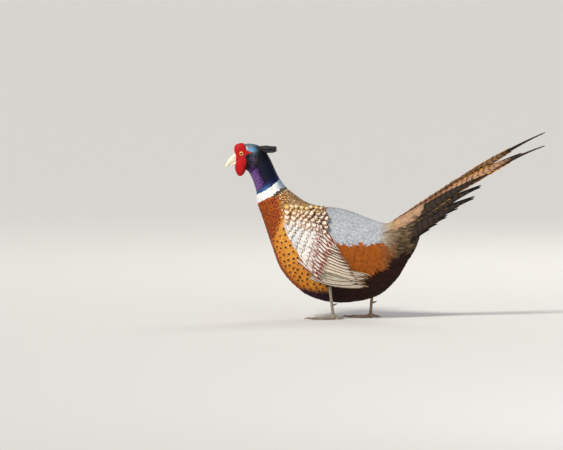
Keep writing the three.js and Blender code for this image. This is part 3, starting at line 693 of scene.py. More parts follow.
def zone(t, turn, x, z):
    """What grows at a station and degrees from the back, with its side view place in mm."""
    c, r = COLOUR, random.random
    if t < 5.4:
        return head_zone(t, turn, x, z)
    back = ramp(turn, 110, 20)
    low, end = 8.0 - 0.3 * back, 8.93 - 0.42 * back
    if t < low:
        return neck_zone(t, turn)
    if t < end:
        tone = blend_colour(c["collar_back"], c["collar"], ramp(turn, 25, 65))
        return grow("collar", tone, tone, 8.0, 0.3)
    if t < end + 0.3 and turn < 82:
        return grow("collar", c["neck_black"], c["buff"], 8.5, 0.3, marks=(0.93, 0, 0))
    rear = rear_zone(turn, x, z) if t > 11.5 else None
    if rear:
        return rear
    edge = float(np.interp(z, *CHEST_EDGE))
    chest = max(ramp(x, edge + 6, edge - 6), ramp(turn, 146, 168))
    if t < 13.6 and (turn < 62 or (chest < 0.5 and z > 208)):
        tone = blend_colour(blend_colour(c["gold"], c["yellow"], r()), c["cream"], 0.1 + 0.5 * r())
        tone = blend_colour(tone, c["neck_black"], 0.7 * ramp(turn, 40, 20) * ramp(t, 11.8, 10.6) * r())
        rim = blend_colour(c["gold"], c["copper"] if r() > 0.6 else c["yellow"], r())
        return grow("mantle", tone, rim, 14.0, 0.25, marks=(0.36, 0.74, 0.45))
    # Higher on the side the breast turns from orange to bright gold: partly the feathers' own gold, partly a
    # painted highlight where light falls on the upper side
    side_gold_and_shine = ramp(turn, 150, 100)
    tone = blend_colour(c["chestnut"], c["copper"], 0.1 + 0.65 * r())
    warm = blend_colour(c["breast_orange"], c["breast_gold"], 0.6 * side_gold_and_shine * r() + 0.1 + 0.3 * side_gold_and_shine)
    tone = blend_colour(tone, warm, 1 - chest)
    if t > 12.5:
        tone = blend_colour(tone, c["belly_purple"], ramp(z + 0.12 * (x + 190), 76, 60))
    rim = blend_colour(tone, c["maroon"], 0.3 * chest + 0.06)
    size, gap = (1.0, 10.0) if chest < 0.5 else (0.64, 4.7)
    return grow("breast", tone, rim, 12.0, 0.3, marks=(0.9, size, 0), gap=gap)


# Feathers as arrays


TAIL_STEPS = 34  # steps along a long tail feather
TAIL_WIDTHS = ((0, 3, 9, 16, 22, 26, 30, 33, 34), (0.5, 0.8, 1, 0.9, 0.7, 0.42, 0.24, 0.12, 0.03))

# Each shape: places along the feather, its width there as a share, and its columns
SHAPES = {
    "small": ((0, 0.35, 0.7, 0.9, 1), (0.5, 1.0, 0.95, 0.6, 0.12), 2),
    "contour": ((0, 0.3, 0.58, 0.78, 0.9, 0.965, 1), (0.4, 0.85, 1.0, 0.92, 0.7, 0.42, 0.14), 4),
    "strand": ((0, 0.3, 0.6, 0.85, 1), (0.6, 1.0, 0.85, 0.5, 0.06), 1),
    "flight": (
        (0, 0.08, 0.16, 0.3, 0.45, 0.6, 0.74, 0.85, 0.93, 0.98, 1),
        (0.3, 0.55, 0.75, 0.92, 1.0, 0.98, 0.92, 0.82, 0.6, 0.32, 0.1),
        4,
    ),
    "tail": (
        (*[i / TAIL_STEPS for i in range(TAIL_STEPS - 1)], 0.985, 1),
        tuple(float(np.interp(i, *TAIL_WIDTHS)) for i in range(TAIL_STEPS + 1)),
        6,
    ),
}


def blade_grid(shape):
    """Places along and across a feather, its width at each, and its faces."""
    along, widths, columns = SHAPES[shape]
    v, u = np.meshgrid(np.array(along, dtype=float), np.linspace(-1, 1, columns + 1), indexing="ij")
    width = np.repeat(np.array(widths, dtype=float), columns + 1)
    wide = columns + 1
    quads = [
        (r * wide + k, r * wide + k + 1, (r + 1) * wide + k + 1, (r + 1) * wide + k)
        for r in range(len(along) - 1)
        for k in range(columns)
    ]
    return v.ravel(), u.ravel(), width, np.array(quads)


def build_mesh(name, points, quads, blade_uv, bake_uv, colours):
    """One mesh from arrays of corners and four-sided faces, with its maps and colours."""
    mesh = bpy.data.meshes.new(name)
    mesh.vertices.add(len(points))
    mesh.vertices.foreach_set("co", points.astype(np.float32).ravel())
    mesh.loops.add(quads.size)
    mesh.loops.foreach_set("vertex_index", quads.ravel().astype(np.int32))
    mesh.polygons.add(len(quads))
    mesh.polygons.foreach_set("loop_start", np.arange(0, quads.size, 4, dtype=np.int32))
    mesh.polygons.foreach_set("use_smooth", np.ones(len(quads), dtype=bool))
    for key, uv in (("Blade", blade_uv), ("OFBake", bake_uv)):
        layer = mesh.uv_layers.new(name=key)
        layer.data.foreach_set("uv", uv[quads.ravel()].astype(np.float32).ravel())
    for key, data in colours.items():
        kind, field = "FLOAT_VECTOR", "vector"
        if key != "marks":
            kind, field = "FLOAT_COLOR", "color"
            data = np.concatenate([data, np.ones((len(data), 1))], axis=1)
        layer = mesh.attributes.new(key, kind, "POINT")
        layer.data.foreach_set(field, data.astype(np.float32).ravel())
    mesh.update(calc_edges=True)
    mesh.validate()
    return mesh


BAKE_PATCH = 0.003  # side of a small feather's patch on the bake map


class Coat:
    """Feathers gathered one by one, then laid over the skin as one mesh."""

    def __init__(self, name, shape):
        self.name = name
        self.shape = shape
        self.items = []

    def add(self, root, out, ahead, length, half, look, patch, rise, cup, turn=0.0):
        side = out.cross(ahead).normalized()
        if turn:
            ahead, side = (
                ahead * math.cos(turn) + side * math.sin(turn),
                side * math.cos(turn) - ahead * math.sin(turn),
            )
        self.items.append((root, ahead, side, length * MM, half * MM, look, patch, rise, cup))

    def lay(self, draw):
        v, u, width, quads = blade_grid(self.shape)
        wide = SHAPES[self.shape][2] + 1
        per = len(v)
        count = len(self.items)
        points = np.zeros((count * per, 3))
        ragged = np.array([draw.uniform(-0.02, 0.02) for _ in range(61)])
        nearest = Body.tree.find_nearest
        for i, (root, ahead, side, length, half, _, _, rise, cup) in enumerate(self.items):
            lag = 1 - (0.16 if wide > 3 else 0.05) * u * u * v
            if wide > 3:
                lag = lag + np.where(v > 0.85, ragged[(np.arange(per) + i * 7) % 61], 0)
            base = np.array(root)[None] + np.outer(v * lag * length, ahead)
            shift = np.outer(u * width * half, side)
            lift = (rise[0] + (rise[1] - rise[0]) * v**1.2 - cup * u * u * v) * MM
            if wide > 3:
                found = [nearest(Vector(p)) for p in base + shift]
                shift = 0.0
            else:
                rows = [nearest(Vector(p)) for p in base[::wide]]
                found = [row for row in rows for _ in range(wide)]
            spots = np.array([hit[0] for hit in found])
            outs = np.array([hit[1] for hit in found])
            points[i * per : (i + 1) * per] = spots + shift + outs * lift[:, None]
        blade_uv = np.tile(np.stack([(u + 1) / 2, v], axis=1), (count, 1))
        patches = np.repeat(np.array([item[6] for item in self.items]), per, axis=0)
        bake_uv = patches + (blade_uv - 0.5) * BAKE_PATCH
        all_quads = (quads[None] + (np.arange(count) * per)[:, None, None]).reshape(-1, 4)
        colours = {
            key: np.repeat(np.array([item[5][key] for item in self.items], dtype=float), per, axis=0)
            for key in ("tone", "rim", "mark", "marks")
        }
        shade = np.repeat([draw.uniform(0.86, 1.14) for _ in range(count)], per)[:, None]
        for key in ("tone", "rim"):
            colours[key] = np.clip(colours[key] * shade, 0, 1)
        return new_object(self.name, build_mesh(self.name, points, all_quads, blade_uv, bake_uv, colours))


def bake_place(t, angle):
    """Where the patch of a feather lies on the bake map."""
    return (0.02 + 0.96 * ((angle / (2 * math.pi)) % 1.0), 0.02 + 0.96 * t / SPINE_END)


def sheet_blade(place, half, shape, thick):
    """One thin closed blade: its face and back from the place function, joined at their edges."""
    v, u, width, quads = blade_grid(shape)
    rows, columns = len(SHAPES[shape][0]) - 1, SHAPES[shape][2]
    face = np.array([place(a, b * w * half, 0.0, b) for a, b, w in zip(v, u, width)])
    rear = np.array([place(a, b * w * half, thick, b) for a, b, w in zip(v, u, width)])
    per = len(v)
    wide = columns + 1
    edge = list(range(wide)) + [r * wide + columns for r in range(1, rows + 1)]
    edge += [rows * wide + k for k in range(columns - 1, -1, -1)] + [r * wide for r in range(rows - 1, 0, -1)]
    walls = [(a, b, b + per, a + per) for a, b in zip(edge, edge[1:] + edge[:1])]
    quads = np.concatenate([quads[:, ::-1], quads + per, np.array(walls)])
    uv = np.stack([(u + 1) / 2, v], axis=1)
    return np.concatenate([face, rear]), quads, np.concatenate([uv, uv])


def join_blades(name, blades):
    """Blades of sheet_blade with their looks and bake places, as one mesh."""
    points, quads, uvs, bakes = [], [], [], []
    colours = {key: [] for key in ("tone", "rim", "mark", "marks")}
    offset = 0
    for (p, q, uv), look, patch in blades:
        points.append(p)
        quads.append(q + offset)
        uvs.append(uv)
        bakes.append(np.array(patch)[None] + (uv - 0.5) * look.get("patch", BAKE_PATCH * 4))
        for key, rows in colours.items():
            rows.append(np.repeat(np.array(look[key], dtype=float)[None], len(p), axis=0))
        offset += len(p)
    mesh = build_mesh(
        name,
        np.concatenate(points),
        np.concatenate(quads),
        np.concatenate(uvs),
        np.concatenate(bakes),
        {key: np.concatenate(rows) for key, rows in colours.items()},
    )
    bm = bmesh.new()
    bm.from_mesh(mesh)
    bmesh.ops.recalc_face_normals(bm, faces=bm.faces)
    bm.to_mesh(mesh)
    bm.free()
    return new_object(name, mesh)


# Wing surface


WING_PEAK = (-130, 140)


class Wing:
    """How far out the wing lies at each place of the side view, kept on a grid."""

    step = 3.0
    xs = np.arange(-216.0, -12.0, step)
    zs = np.arange(52.0, 240.0, step)
    table = None

    @classmethod
    def prepare(cls):
        depth = bpy.context.scene.pheasant.coat_depth / MM
        rows = []
        for x in cls.xs:
            for z in cls.zs:
                stiff = 65 - 0.0016 * (x - WING_PEAK[0]) ** 2 - 0.0034 * (z - WING_PEAK[1]) ** 2
                side = Body.side((x + SHIFT) * MM, z * MM) / MM
                side = side + depth if side else 0.0
                limit = side + 6 + 0.8 * max(0, WING_PEAK[1] - z)
                rows.append(max(min(stiff, limit), side + 1.6))
        table = np.array(rows).reshape(len(cls.xs), len(cls.zs))
        for _ in range(2):
            padded = np.pad(table, 1, mode="edge")
            around = padded[:-2, 1:-1] + padded[2:, 1:-1] + padded[1:-1, :-2] + padded[1:-1, 2:]
            table = (around + 2 * table) / 6
        cls.table = table


def wing_reach(x, z):
    """How far out the wing's surface lies at a place of the side view, in mm."""
    i = min(max((x - Wing.xs[0]) / Wing.step, 0), len(Wing.xs) - 1.001)
    k = min(max((z - Wing.zs[0]) / Wing.step, 0), len(Wing.zs) - 1.001)
    a, b = int(i), int(k)
    u, v = i - a, k - b
    t = Wing.table
    return (t[a, b] * (1 - u) + t[a + 1, b] * u) * (1 - v) + (t[a, b + 1] * (1 - u) + t[a + 1, b + 1] * u) * v


BACK_LINE = ([row[2] for row in SPINE[9:]], [row[3] for row in SPINE[9:]])


def wing_point(x, z, out, side):
    """A place in metres that far out from the wing's surface."""
    span = 5
    z = min(z, float(np.interp(x, *BACK_LINE)) - 2)
    slope_x = (wing_reach(x + span, z) - wing_reach(x - span, z)) / (2 * span)
    slope_z = (wing_reach(x, z + span) - wing_reach(x, z - span)) / (2 * span)
    outward = Vector((-max(-1.6, min(1.6, slope_x)), -1, -max(-1.6, min(1.6, slope_z)))).normalized()
    point = Vector((x + SHIFT, -wing_reach(x, z), z)) + outward * out
    return (point.x * MM, -side * point.y * MM, point.z * MM)


# Each tier of the wing, in mm: how many feathers, the roots (x, z) of the first and last, their tips, half
# width, how far root and tip stand out, lift of the lower edge, bow, how much is taken off each in turn; then
# the tones of the first and last, mark, rim, and the marks of the first and last
def wing_tiers():
    c = COLOUR
    grey = blend_colour(c["grey_brown"], c["buff"], 0.3)
    primaries = (blend_colour(grey, c["cream"], 0.65), blend_colour(grey, c["cream"], 0.3))
    secondaries = (blend_colour(c["buff"], c["cream"], 0.6), c["cream"])
    rows = [
        (9, ((-152, 86), (-118, 116)), ((-31, 69), (-27, 92)), 5.2, (-1.6, -0.2), 0.5, -5,
         (0, 20, 4, 26, 8, 0, 14, 4, 0), primaries, c["dark_brown"], c["buff"],
         ((0.72, 0.93, 0.3), (0.66, 0.92, 0.3))),
        (12, ((-152, 112), (-150, 196)), ((-50, 82), (-94, 150)), 6.2, (-0.8, 1.4), 0.8, 4, (0, 5, 1),
         secondaries, linear("6a4030"), c["cream"], ((0.78, 0.93, 0.3), (0.4, 0.88, 0.4))),
        (13, ((-176, 124), (-142, 200)), ((-126, 80), (-97, 152)), 5.0, (-1.5, 2.6), 0.7, 3, (0, 6, 2),
         (c["white"], c["white"]), linear("7e3a2a"), c["cream"], ((0.44, 0.88, 0.3), (0.3, 0.84, 0.4))),
        (16, ((-184, 136), (-150, 206)), ((-150, 96), (-122, 176)), 4.2, (-2.5, 3.3), 0.5, 2, (0, 6, 2, 9),
         (c["white"], c["white"]), linear("9c5f50"), c["white"], ((0.7, 0.95, 0.0), (0.34, 0.82, 0.2))),
        (17, ((-190, 146), (-158, 208)), ((-164, 114), (-133, 182)), 3.9, (-3.0, 3.6), 0.4, 2, (0, 5, 1, 7),
         (c["white"], c["white"]), linear("d8c4bc"), c["white"], ((0.88, 0.98, 0.0), (0.6, 0.9, 0.1))),
        (17, ((-199, 161), (-168, 211)), ((-176, 130), (-144, 187)), 3.9, (-3.2, 3.8), 0.4, 2, (0, 4, 2, 6),
         (c["white"], c["white"]), linear("cfc4c2"), c["white"], ((0.88, 0.98, 0.0), (0.8, 0.95, 0.1))),
        (16, ((-206, 175), (-176, 213)), ((-187, 147), (-156, 191)), 3.9, (-3.4, 4.0), 0.4, 2, (0, 4, 1, 5),
         (c["rump_pale"], c["white"]), linear("c9bcb8"), c["white"], ((0.88, 0.98, 0.0), (0.8, 0.95, 0.1))),
        (14, ((-211, 188), (-184, 214)), ((-196, 163), (-168, 196)), 4.0, (-3.6, 4.2), 0.4, 1, (0, 3, 1, 4),
         (c["white"], c["white"]), linear("c9bcb8"), c["white"], ((0.86, 0.98, 0.0), (0.8, 0.95, 0.1))),
        (12, ((-215, 199), (-192, 215)), ((-202, 177), (-178, 200)), 4.0, (-3.8, 4.4), 0.4, 1, (0, 3, 1),
         (c["rump_pale"], c["cream"]), linear("c9a890"), c["white"], ((0.8, 0.96, 0.2), (0.8, 0.95, 0.1))),
    ]
    keys = "count roots tips half out lift bow shorten tones mark rim marks".split()
    return [dict(zip(keys, row)) for row in rows]


# Height of each row's tips at its front and rear, and the share of the row where it starts
SHOULDER_ROWS = (
    (197, 177, 0.0),
    (199, 186, 0.35),
    (205, 195, 0.0),
    (209, 204, 0.2),
    (214, 212, 0.0),
    (219, 217, 0.0),
    (226, 221, 0.0),
)


def scapular_tiers():
    """Rows of shorter feathers over the shoulder, the lowest row first; the last two belong to the mantle."""
    rows = []
    for j, (front, rear, first) in enumerate(SHOULDER_ROWS):
        mantle = j > 4
        step = 9.5 if mantle else 12.5
        for i in range(12):
            u = (i * step + step / 2 * (j % 2)) / 84
            if first <= u <= (0.9 if mantle else 1.04):
                steep = math.radians(54 - 26 * u)
                tip = (-192 + 84 * u - 2 * mantle, front + (rear - front) * u ** 0.8)
                reach = 16 if mantle else 19
                root = (tip[0] - reach * math.cos(steep), tip[1] + reach * math.sin(steep))
                rows.append((root, tip, 6.3 + 0.2 * j - 1.6 * u - 1.4 * mantle, j))
    return rows


def wing_blade(root, tip, half, out, lift, bow, side, shape):
    """One feather from root to tip that follows the wing's surface."""
    length = math.hypot(tip[0] - root[0], tip[1] - root[1])
    ax, az = (tip[0] - root[0]) / length, (tip[1] - root[1]) / length

    def place(s, d, depth, b):
        bend = bow * 4 * s * (1 - s)
        along = length * s * (1 - 0.05 * b * b * s)
        x = root[0] + ax * along - az * (d + bend)
        z = root[1] + az * along + ax * (d + bend)
        level = out[0] + (out[1] - out[0]) * s - lift * d / half
        return wing_point(x, z, level + 0.5 * (1 - b * b) - depth, side)

    return sheet_blade(place, half, shape, 0.35)


def wing_blades(tier, side, draw, row):
    blades = []
    for i in range(tier["count"]):
        u = i / (tier["count"] - 1)
        root = [a + (b - a) * u + draw.uniform(-1.2, 1.2) for a, b in zip(*tier["roots"])]
        tip = [a + (b - a) * u + draw.uniform(-1.2, 1.2) for a, b in zip(*tier["tips"])]
        if row > 2:
            root[0] += 11 * (1 - u)
            tip[0] += 9 * (1 - u)
        length = math.hypot(tip[0] - root[0], tip[1] - root[1])
        less = tier["shorten"][i % len(tier["shorten"])] / length
        tip = [t + (r - t) * less for t, r in zip(tip, root)]
        out = [level + i * 0.05 for level in tier["out"]]
        half = tier["half"] * draw.uniform(0.93, 1.07)
        blade = wing_blade(root, tip, half, out, tier["lift"], tier["bow"], side, "flight")
        tone = blend_colour(blend_colour(*tier["tones"], u), COLOUR["buff"], draw.uniform(0, 0.12))
        marks = [a + (b - a) * u + draw.uniform(-0.05, 0.05) for a, b in zip(*tier["marks"])]
        look = dict(tone=tone, rim=tier["rim"], mark=tier["mark"], marks=marks, patch=0.02)
        blades.append((blade, look, (0.08 + 0.84 * u, 0.04 + 0.07 * row)))
    return blades


def scapular_blades(side, draw):
    blades = []
    c = COLOUR
    for k, (root, tip, level, row) in enumerate(scapular_tiers()):
        nudge = (draw.uniform(-1.8, 1.8), draw.uniform(-1.5, 1.5))
        root = [a + b + draw.uniform(-1.5, 1.5) for a, b in zip(root, nudge)]
        tip = [a + b for a, b in zip(tip, nudge)]
        half = (4.6 if row > 4 else 6.0) * draw.uniform(0.86, 1.12)
        blade = wing_blade(root, tip, half, (-4.0, level), 0.5, 1, side, "contour")
        rear = ramp(tip[0], -172, -122)
        mark = blend_colour(c["copper"], c["maroon"], 0.2 + 0.8 * rear)
        rim = blend_colour(c["yellow"], c["chestnut"], 0.5 * rear + 0.3 * draw.random())
        marks = (draw.uniform(0.62, 0.72) - 0.08 * rear, draw.uniform(0.84, 0.93), 0.9)
        tone = blend_colour(c["cream"], c["buff"], 0.35 * draw.random())
        if row > 4:
            tone = blend_colour(c["yellow"], c["cream"], 0.8 * draw.random())
            mark, marks = c["black"], (0.58, 0.74, 0.5)
        look = dict(tone=tone, rim=blend_colour(rim, c["cream"], 0.2), mark=mark, marks=marks, patch=0.02)
        blades.append((blade, look, (0.05 + 0.9 * ((k * 0.13) % 1), 0.72 + 0.034 * row)))
    return blades


# Tail


TAIL_PAIRS = [
    # tip x and z, rise of the right one over the left, half width, distance from the middle, turn, sag
    (326.5, 369.8, 13.2, 11.5, 8, 46, -7),
    (279.0, 339.0, 1.5, 12.5, 13, 55, -7),
    (211.0, 299.0, 1.0, 12.0, 18, 62, -5),
    (196.0, 273.0, 1.0, 12.0, 22, 68, -4),
    (183.0, 250.0, 1.0, 11.5, 25, 72, -3),
    (150.0, 229.0, 1.0, 11.0, 25, 76, -3),
    (127.0, 211.0, 1.0, 10.5, 24, 80, -2),
    (108.0, 197.0, 1.0, 10.0, 22, 84, -2),
    (93.0, 186.0, 1.0, 9.0, 19, 88, -1),
]


def space_place(root, tip, turn, sag, side, half):
    """A place function for a blade from root to tip in mm, turned about its length."""
    start, end = Vector(root), Vector(tip)
    ahead = (end - start).normalized()
    level = Vector((0, side, 0))
    level = (level - ahead * level.dot(ahead)).normalized()
    up = ahead.cross(level) * side
    up = -up if up.z < 0 else up
    angle = math.radians(turn)
    across = level * math.cos(angle) - up * math.sin(angle)
    inward = -up * math.cos(angle) - level * math.sin(angle)

    def place(s, d, depth, b):
        point = start.lerp(end, s) - up * (sag * 8.1 * s**2.5 * (1 - s)) + across * d
        point += inward * (depth + 0.9 * b * b)
        return ((point.x + SHIFT) * MM, point.y * MM, point.z * MM)

    return place


def tail_blades(side, draw):
    c = COLOUR
    blades = []
    for i, (x, z, split, half, y, turn, sag) in enumerate(TAIL_PAIRS):
        root = (-2 + 0.6 * i, side * (2.5 + 1.84 * i), 184 - 5.6 * i)
        tip = (x, side * y, z + side * split)
        place = space_place(root, tip, turn, sag, side, half)
        blade = sheet_blade(place, half, "tail", 0.5)
        length = math.dist(root, tip)
        bars = length / 12.5
        # Painted shade: below the top pair the feathers are blended nearly to the belly's black-brown and
        # given a dark factor of 0.55, as if in the shadow under the tail
        bright = i < 2
        tone = blend_colour(c["tail_tan"], c["yellow"], 0.35 if i == 0 else 0.15)
        look = dict(
            tone=tone if bright else blend_colour(tone, c["belly"], 0.9),
            rim=c["tail_pink"] if bright else blend_colour(c["dark_brown"], c["belly"], 0.5),
            mark=blend_colour(c["black"], c["tail_tan"], 0.2) if bright else c["black"],
            marks=(bars, 0.8 if i == 0 else 0.95, 1.0 if bright else 0.55),
            patch=0.05,
        )
        blades.append((blade, look, (0.1 + 0.09 * i, 0.3 + 0.2 * side)))
        if i < 4:
            blades.extend(tail_fringe(place, half, length, bars, side, i, draw))
    return blades


def tail_fringe(place, half, length, bars, side, i, draw):
    """Loose barbs along both edges of a tail feather, dark where the bars meet them."""
    c = COLOUR
    blades = []
    for edge in (-1, 1):
        s = 0.05
        while s < (0.78 if i < 2 else 0.6):
            width = half * float(np.interp(s, *SHAPES["tail"][:2]))
            inner = edge * width * 0.8
            root = Vector(place(s, inner, 0, 1))
            ahead = (Vector(place(s + 0.02, inner, 0, 1)) - root).normalized()
            away = (Vector(place(s, edge * width, 0, 1)) - Vector(place(s, 0, 0, 0))).normalized()
            reach = draw.uniform(7, 11) * MM * min(1, width / 8 + 0.2)
            lean = draw.uniform(0.3, 0.62)
            flat = ahead.cross(away).normalized()

            def barb(v, d, depth, b, root=root, ahead=ahead, away=away, reach=reach, lean=lean, flat=flat):
                point = root + ahead * (reach * v) + away * (reach * lean * v * (1 - 0.3 * v))
                return tuple(point + (away - ahead * lean) * (d * MM) + flat * (depth * MM))

            dark = (s * bars) % 1 > 0.72
            tone = c["dark_brown"] if dark else blend_colour(c["gold"], c["yellow"], draw.random())
            # Painted shade: the fringes of the lower feathers are darkened along with them
            if i > 1:
                tone = blend_colour(tone, c["dark_brown"], 0.5 if i == 2 else 0.75)
            look = dict(tone=tone, rim=tone, mark=tone, marks=(0, 2, 1), patch=0.002)
            patch = (0.1 + 0.09 * i + 0.02 * edge, 0.3 + 0.2 * side + 0.1 * s)
            blades.append((sheet_blade(barb, 0.7, "strand", 0.15), look, patch))
            s += draw.uniform(1.2, 2.2) / length
    return blades


# Operators


class PHEASANT_OT_skin(bpy.types.Operator):
    """One skin from the bill's root to the tail, with both thighs"""

    bl_idname = "pheasant.skin"
    bl_label = "Skin"

    def execute(self, context):
        sizes = context.scene.pheasant
        random.seed(sizes.seed)
        bm = bmesh.new()

        def hide(s, a):
            t = SKIN_START + s * SKIN_SPAN
            return section(t, a, coat_depth(t))

        tube_shell(bm, 150, 64, hide)
        for side, knee, hock in LEGS.values():
            start = Vector((knee[0] + SHIFT, side * knee[1], knee[2])) * MM
            end = Vector((hock[0] + SHIFT, side * hock[1], hock[2])) * MM
            ahead = (end - start).normalized()
            across = Vector((0, 1, 0)).cross(ahead).normalized()
            other = ahead.cross(across)

            def thigh(s, a, start=start, end=end, across=across, other=other):
                radius = float(np.interp(s, [0, 0.25, 0.5, 0.75, 1], [17, 13.5, 9.2, 5.6, 4.2])) * MM
                return start.lerp(end, s) + across * radius * math.cos(a) + other * radius * math.sin(a)

            leg = bmesh.new()
            tube_shell(leg, 14, 20, thigh)
            extra = bpy.data.meshes.new("thigh")
            leg.to_mesh(extra)
            leg.free()
            bm.from_mesh(extra)
            bpy.data.meshes.remove(extra)
        skin = from_bmesh("skin", bm)
        even_out(skin, sizes.voxel, 4)
        Body.prepare(skin.data)
        tones = []
        for v in skin.data.vertices:
            t, angle = Body.grid[Body.places.find(v.co)[1]]
            tones.extend((*zone(t, abs(math.degrees(angle)), v.co.x / MM, v.co.z / MM)["tone"], 1.0))
        skin.data.attributes.new("tone", "FLOAT_COLOR", "POINT").data.foreach_set("color", tones)
        flesh = ("head", "neck", "torso", "thigh_left", "thigh_right")
        set_piece(skin, skin_material("skin"), flesh)
        return {"FINISHED"}


# Each kind of cover: where it starts and ends along the body, its spacing in mm, its shape, how high its root
# and tip stand and how deep its cup is, in mm
COVER = {
    "head": (0.1, 5.6, 1.6, "small", (0.1, 0.9), 0.15),
    "neck": (5.2, 8.2, 1.9, "small", (0.1, 1.1), 0.2),
    "collar": (7.5, 9.4, 2.3, "small", (0.2, 2.0), 0.3),
    "mantle": (8.4, 13.7, 4.6, "contour", (0.3, 2.2), 0.4),
    "breast": (8.6, 16.5, 3.7, "contour", (0.3, 1.4), 0.25),
    "rump": (11.6, 18.6, 2.5, "small", (0.4, 2.6), 0.1),
    "flank": (12.0, 19.5, 3.7, "strand", (0.4, 4.2), 0.0),
    "belly": (11.6, 20.9, 4.6, "strand", (0.3, 3.4), 0.0),
    "tail_base": (16.5, 20.9, 3.0, "small", (0.5, 3.0), 0.2),
}
GLOSSY = ("head", "neck")


class PHEASANT_OT_coat(bpy.types.Operator):
    """Body feathers in staggered rows along the body, each kind its own piece"""

    bl_idname = "pheasant.coat"
    bl_label = "Body feathers"

    def execute(self, context):
        sizes = context.scene.pheasant
        random.seed(sizes.seed)
        gloss = dict(Metallic=0.4, Specular_IOR_Level=0.3)
        glossy = plumage_material("glossy_feathers", 0.36, 12.0, 0.25, 0.15, **gloss)
        soft = plumage_material("soft_feathers", 0.66, 22.0, 0.2, 0.25, Specular_IOR_Level=0.22)
        ringed = ringed_material("ringed_feathers")
        for number, (kind, cover) in enumerate(COVER.items()):
            draw = random.Random(sizes.seed + number)
            coat = Coat(f"{kind}_feathers", cover[3])
            self.spots = []
            self.fill(coat, kind, cover, draw, sizes.density)
            piece = coat.lay(draw)
            if kind in GLOSSY:
                set_piece(piece, glossy)
            else:
                set_piece(piece, ringed if kind == "mantle" else soft)
        return {"FINISHED"}

    def fill(self, coat, kind, cover, draw, density):
        t, last, spacing = cover[0], cover[1], cover[2] / density
        row = 0
        while t < last:
            fx, fz, bx, bz, half, _ = spine_row(t)
            pace = max((section(min(t + 0.05, SPINE_END), 1.57) - section(t, 1.57)).length / MM / 0.05, 4.0)
            depth = math.hypot(bx - fx, bz - fz) / 2
            around = math.pi * (3 * (depth + half) - math.sqrt((3 * depth + half) * (depth + 3 * half)))
            count = max(8, int(around / spacing))
            for k in range(count):
                angle = 2 * math.pi * (k + 0.5 * (row % 2) + draw.uniform(-0.15, 0.15)) / count
                if angle > math.pi:
                    angle -= 2 * math.pi
                here = min(max(t + draw.uniform(-0.2, 0.2) * spacing / pace, 0.08), SPINE_END - 0.08)
                self.feather(coat, kind, cover, draw, here, angle)
            t += spacing * 0.95 / pace
            row += 1

    def feather(self, coat, kind, cover, draw, t, angle):
        spot, out, ahead = Body.at(t, angle)
        turn = abs(math.degrees(angle))
        if t < 5 and near_face(spot):
            return
        look = zone(t, turn, spot.x / MM, spot.z / MM)
        if look["kind"] != kind:
            return
        if look["gap"] and any((spot - other).length < look["gap"] * MM for other in self.spots):
            look["marks"] = (look["marks"][0], 0, look["marks"][2])
        elif look["gap"]:
            self.spots.append(spot)
        length = look["length"] * draw.uniform(0.9, 1.1)
        slant = math.radians(look["slant"] * (1 if angle > 0 else -1) + draw.uniform(-6, 6))
        patch = bake_place(t, angle)
        rise, cup = cover[4:]
        if look["marks"][1] and look["gap"]:
            rise = (rise[0], rise[1] + 0.7)
            grown = 1.3 if look["gap"] > 8 else 1.0
            look["wide"] *= grown
            length *= 1 + 0.4 * (grown - 1)
        if not look["strands"]:
            half = length * look["wide"] * draw.uniform(0.92, 1.08)
            coat.add(spot, out, ahead, length, half, look, patch, rise, cup, slant)
            return
        for _ in range(look["strands"] * 2):
            fan = slant + math.radians(draw.uniform(-13, 13))
            strand = dict(look, tone=blend_colour(look["tone"], look["rim"], draw.uniform(0, 0.45)))
            root = spot + Vector([draw.uniform(-1.8, 1.8) * MM for _ in range(3)])
            top = (rise[0], rise[1] * draw.uniform(0.6, 1.25))
            long, half = length * draw.uniform(0.75, 1.15), draw.uniform(0.45, 1.0)
            coat.add(root, out, ahead, long, half, strand, patch, top, cup, fan)


def near_face(spot):
    """Whether a place of the head is under the bare face or the bill."""
    x, z, y = spot.x / MM - SHIFT, spot.z / MM, abs(spot.y / MM)
    if x < -303:
        return True
    away = (x - EYE[0], z - EYE[2])
    reach = np.interp(math.atan2(away[1], away[0]), FACE_REACH[0], FACE_REACH[1], period=2 * math.pi)
    return y > 9 and math.hypot(*away) < reach - 1.6


class PHEASANT_OT_wings(bpy.types.Operator):
    """Flight feathers, coverts and scapulars in overlapping tiers"""

    bl_idname = "pheasant.wings"
    bl_label = "Wings"

    def execute(self, context):
        Wing.prepare()
        ringed = ringed_material("wing_feathers")
        for name, (side, _, _) in LEGS.items():
            draw = random.Random(context.scene.pheasant.seed + 31)
            blades = [b for row, tier in enumerate(wing_tiers()) for b in wing_blades(tier, side, draw, row)]
            set_piece(join_blades(f"wing_feathers_{name}", blades), ringed, (f"wing_{name}",))
            set_piece(join_blades(f"scapulars_{name}", scapular_blades(side, draw)), ringed)
        return {"FINISHED"}


class PHEASANT_OT_tail(bpy.types.Operator):
    """Eighteen long tail feathers, shaped like a roof"""

    bl_idname = "pheasant.tail"
    bl_label = "Tail"

    def execute(self, context):
        draw = random.Random(context.scene.pheasant.seed + 5)
        blades = tail_blades(-1, draw) + tail_blades(1, draw)
        tail = join_blades("tail_feathers", blades)
        set_piece(tail, tail_material("tail_feathers"), ("tail",))
        return {"FINISHED"}


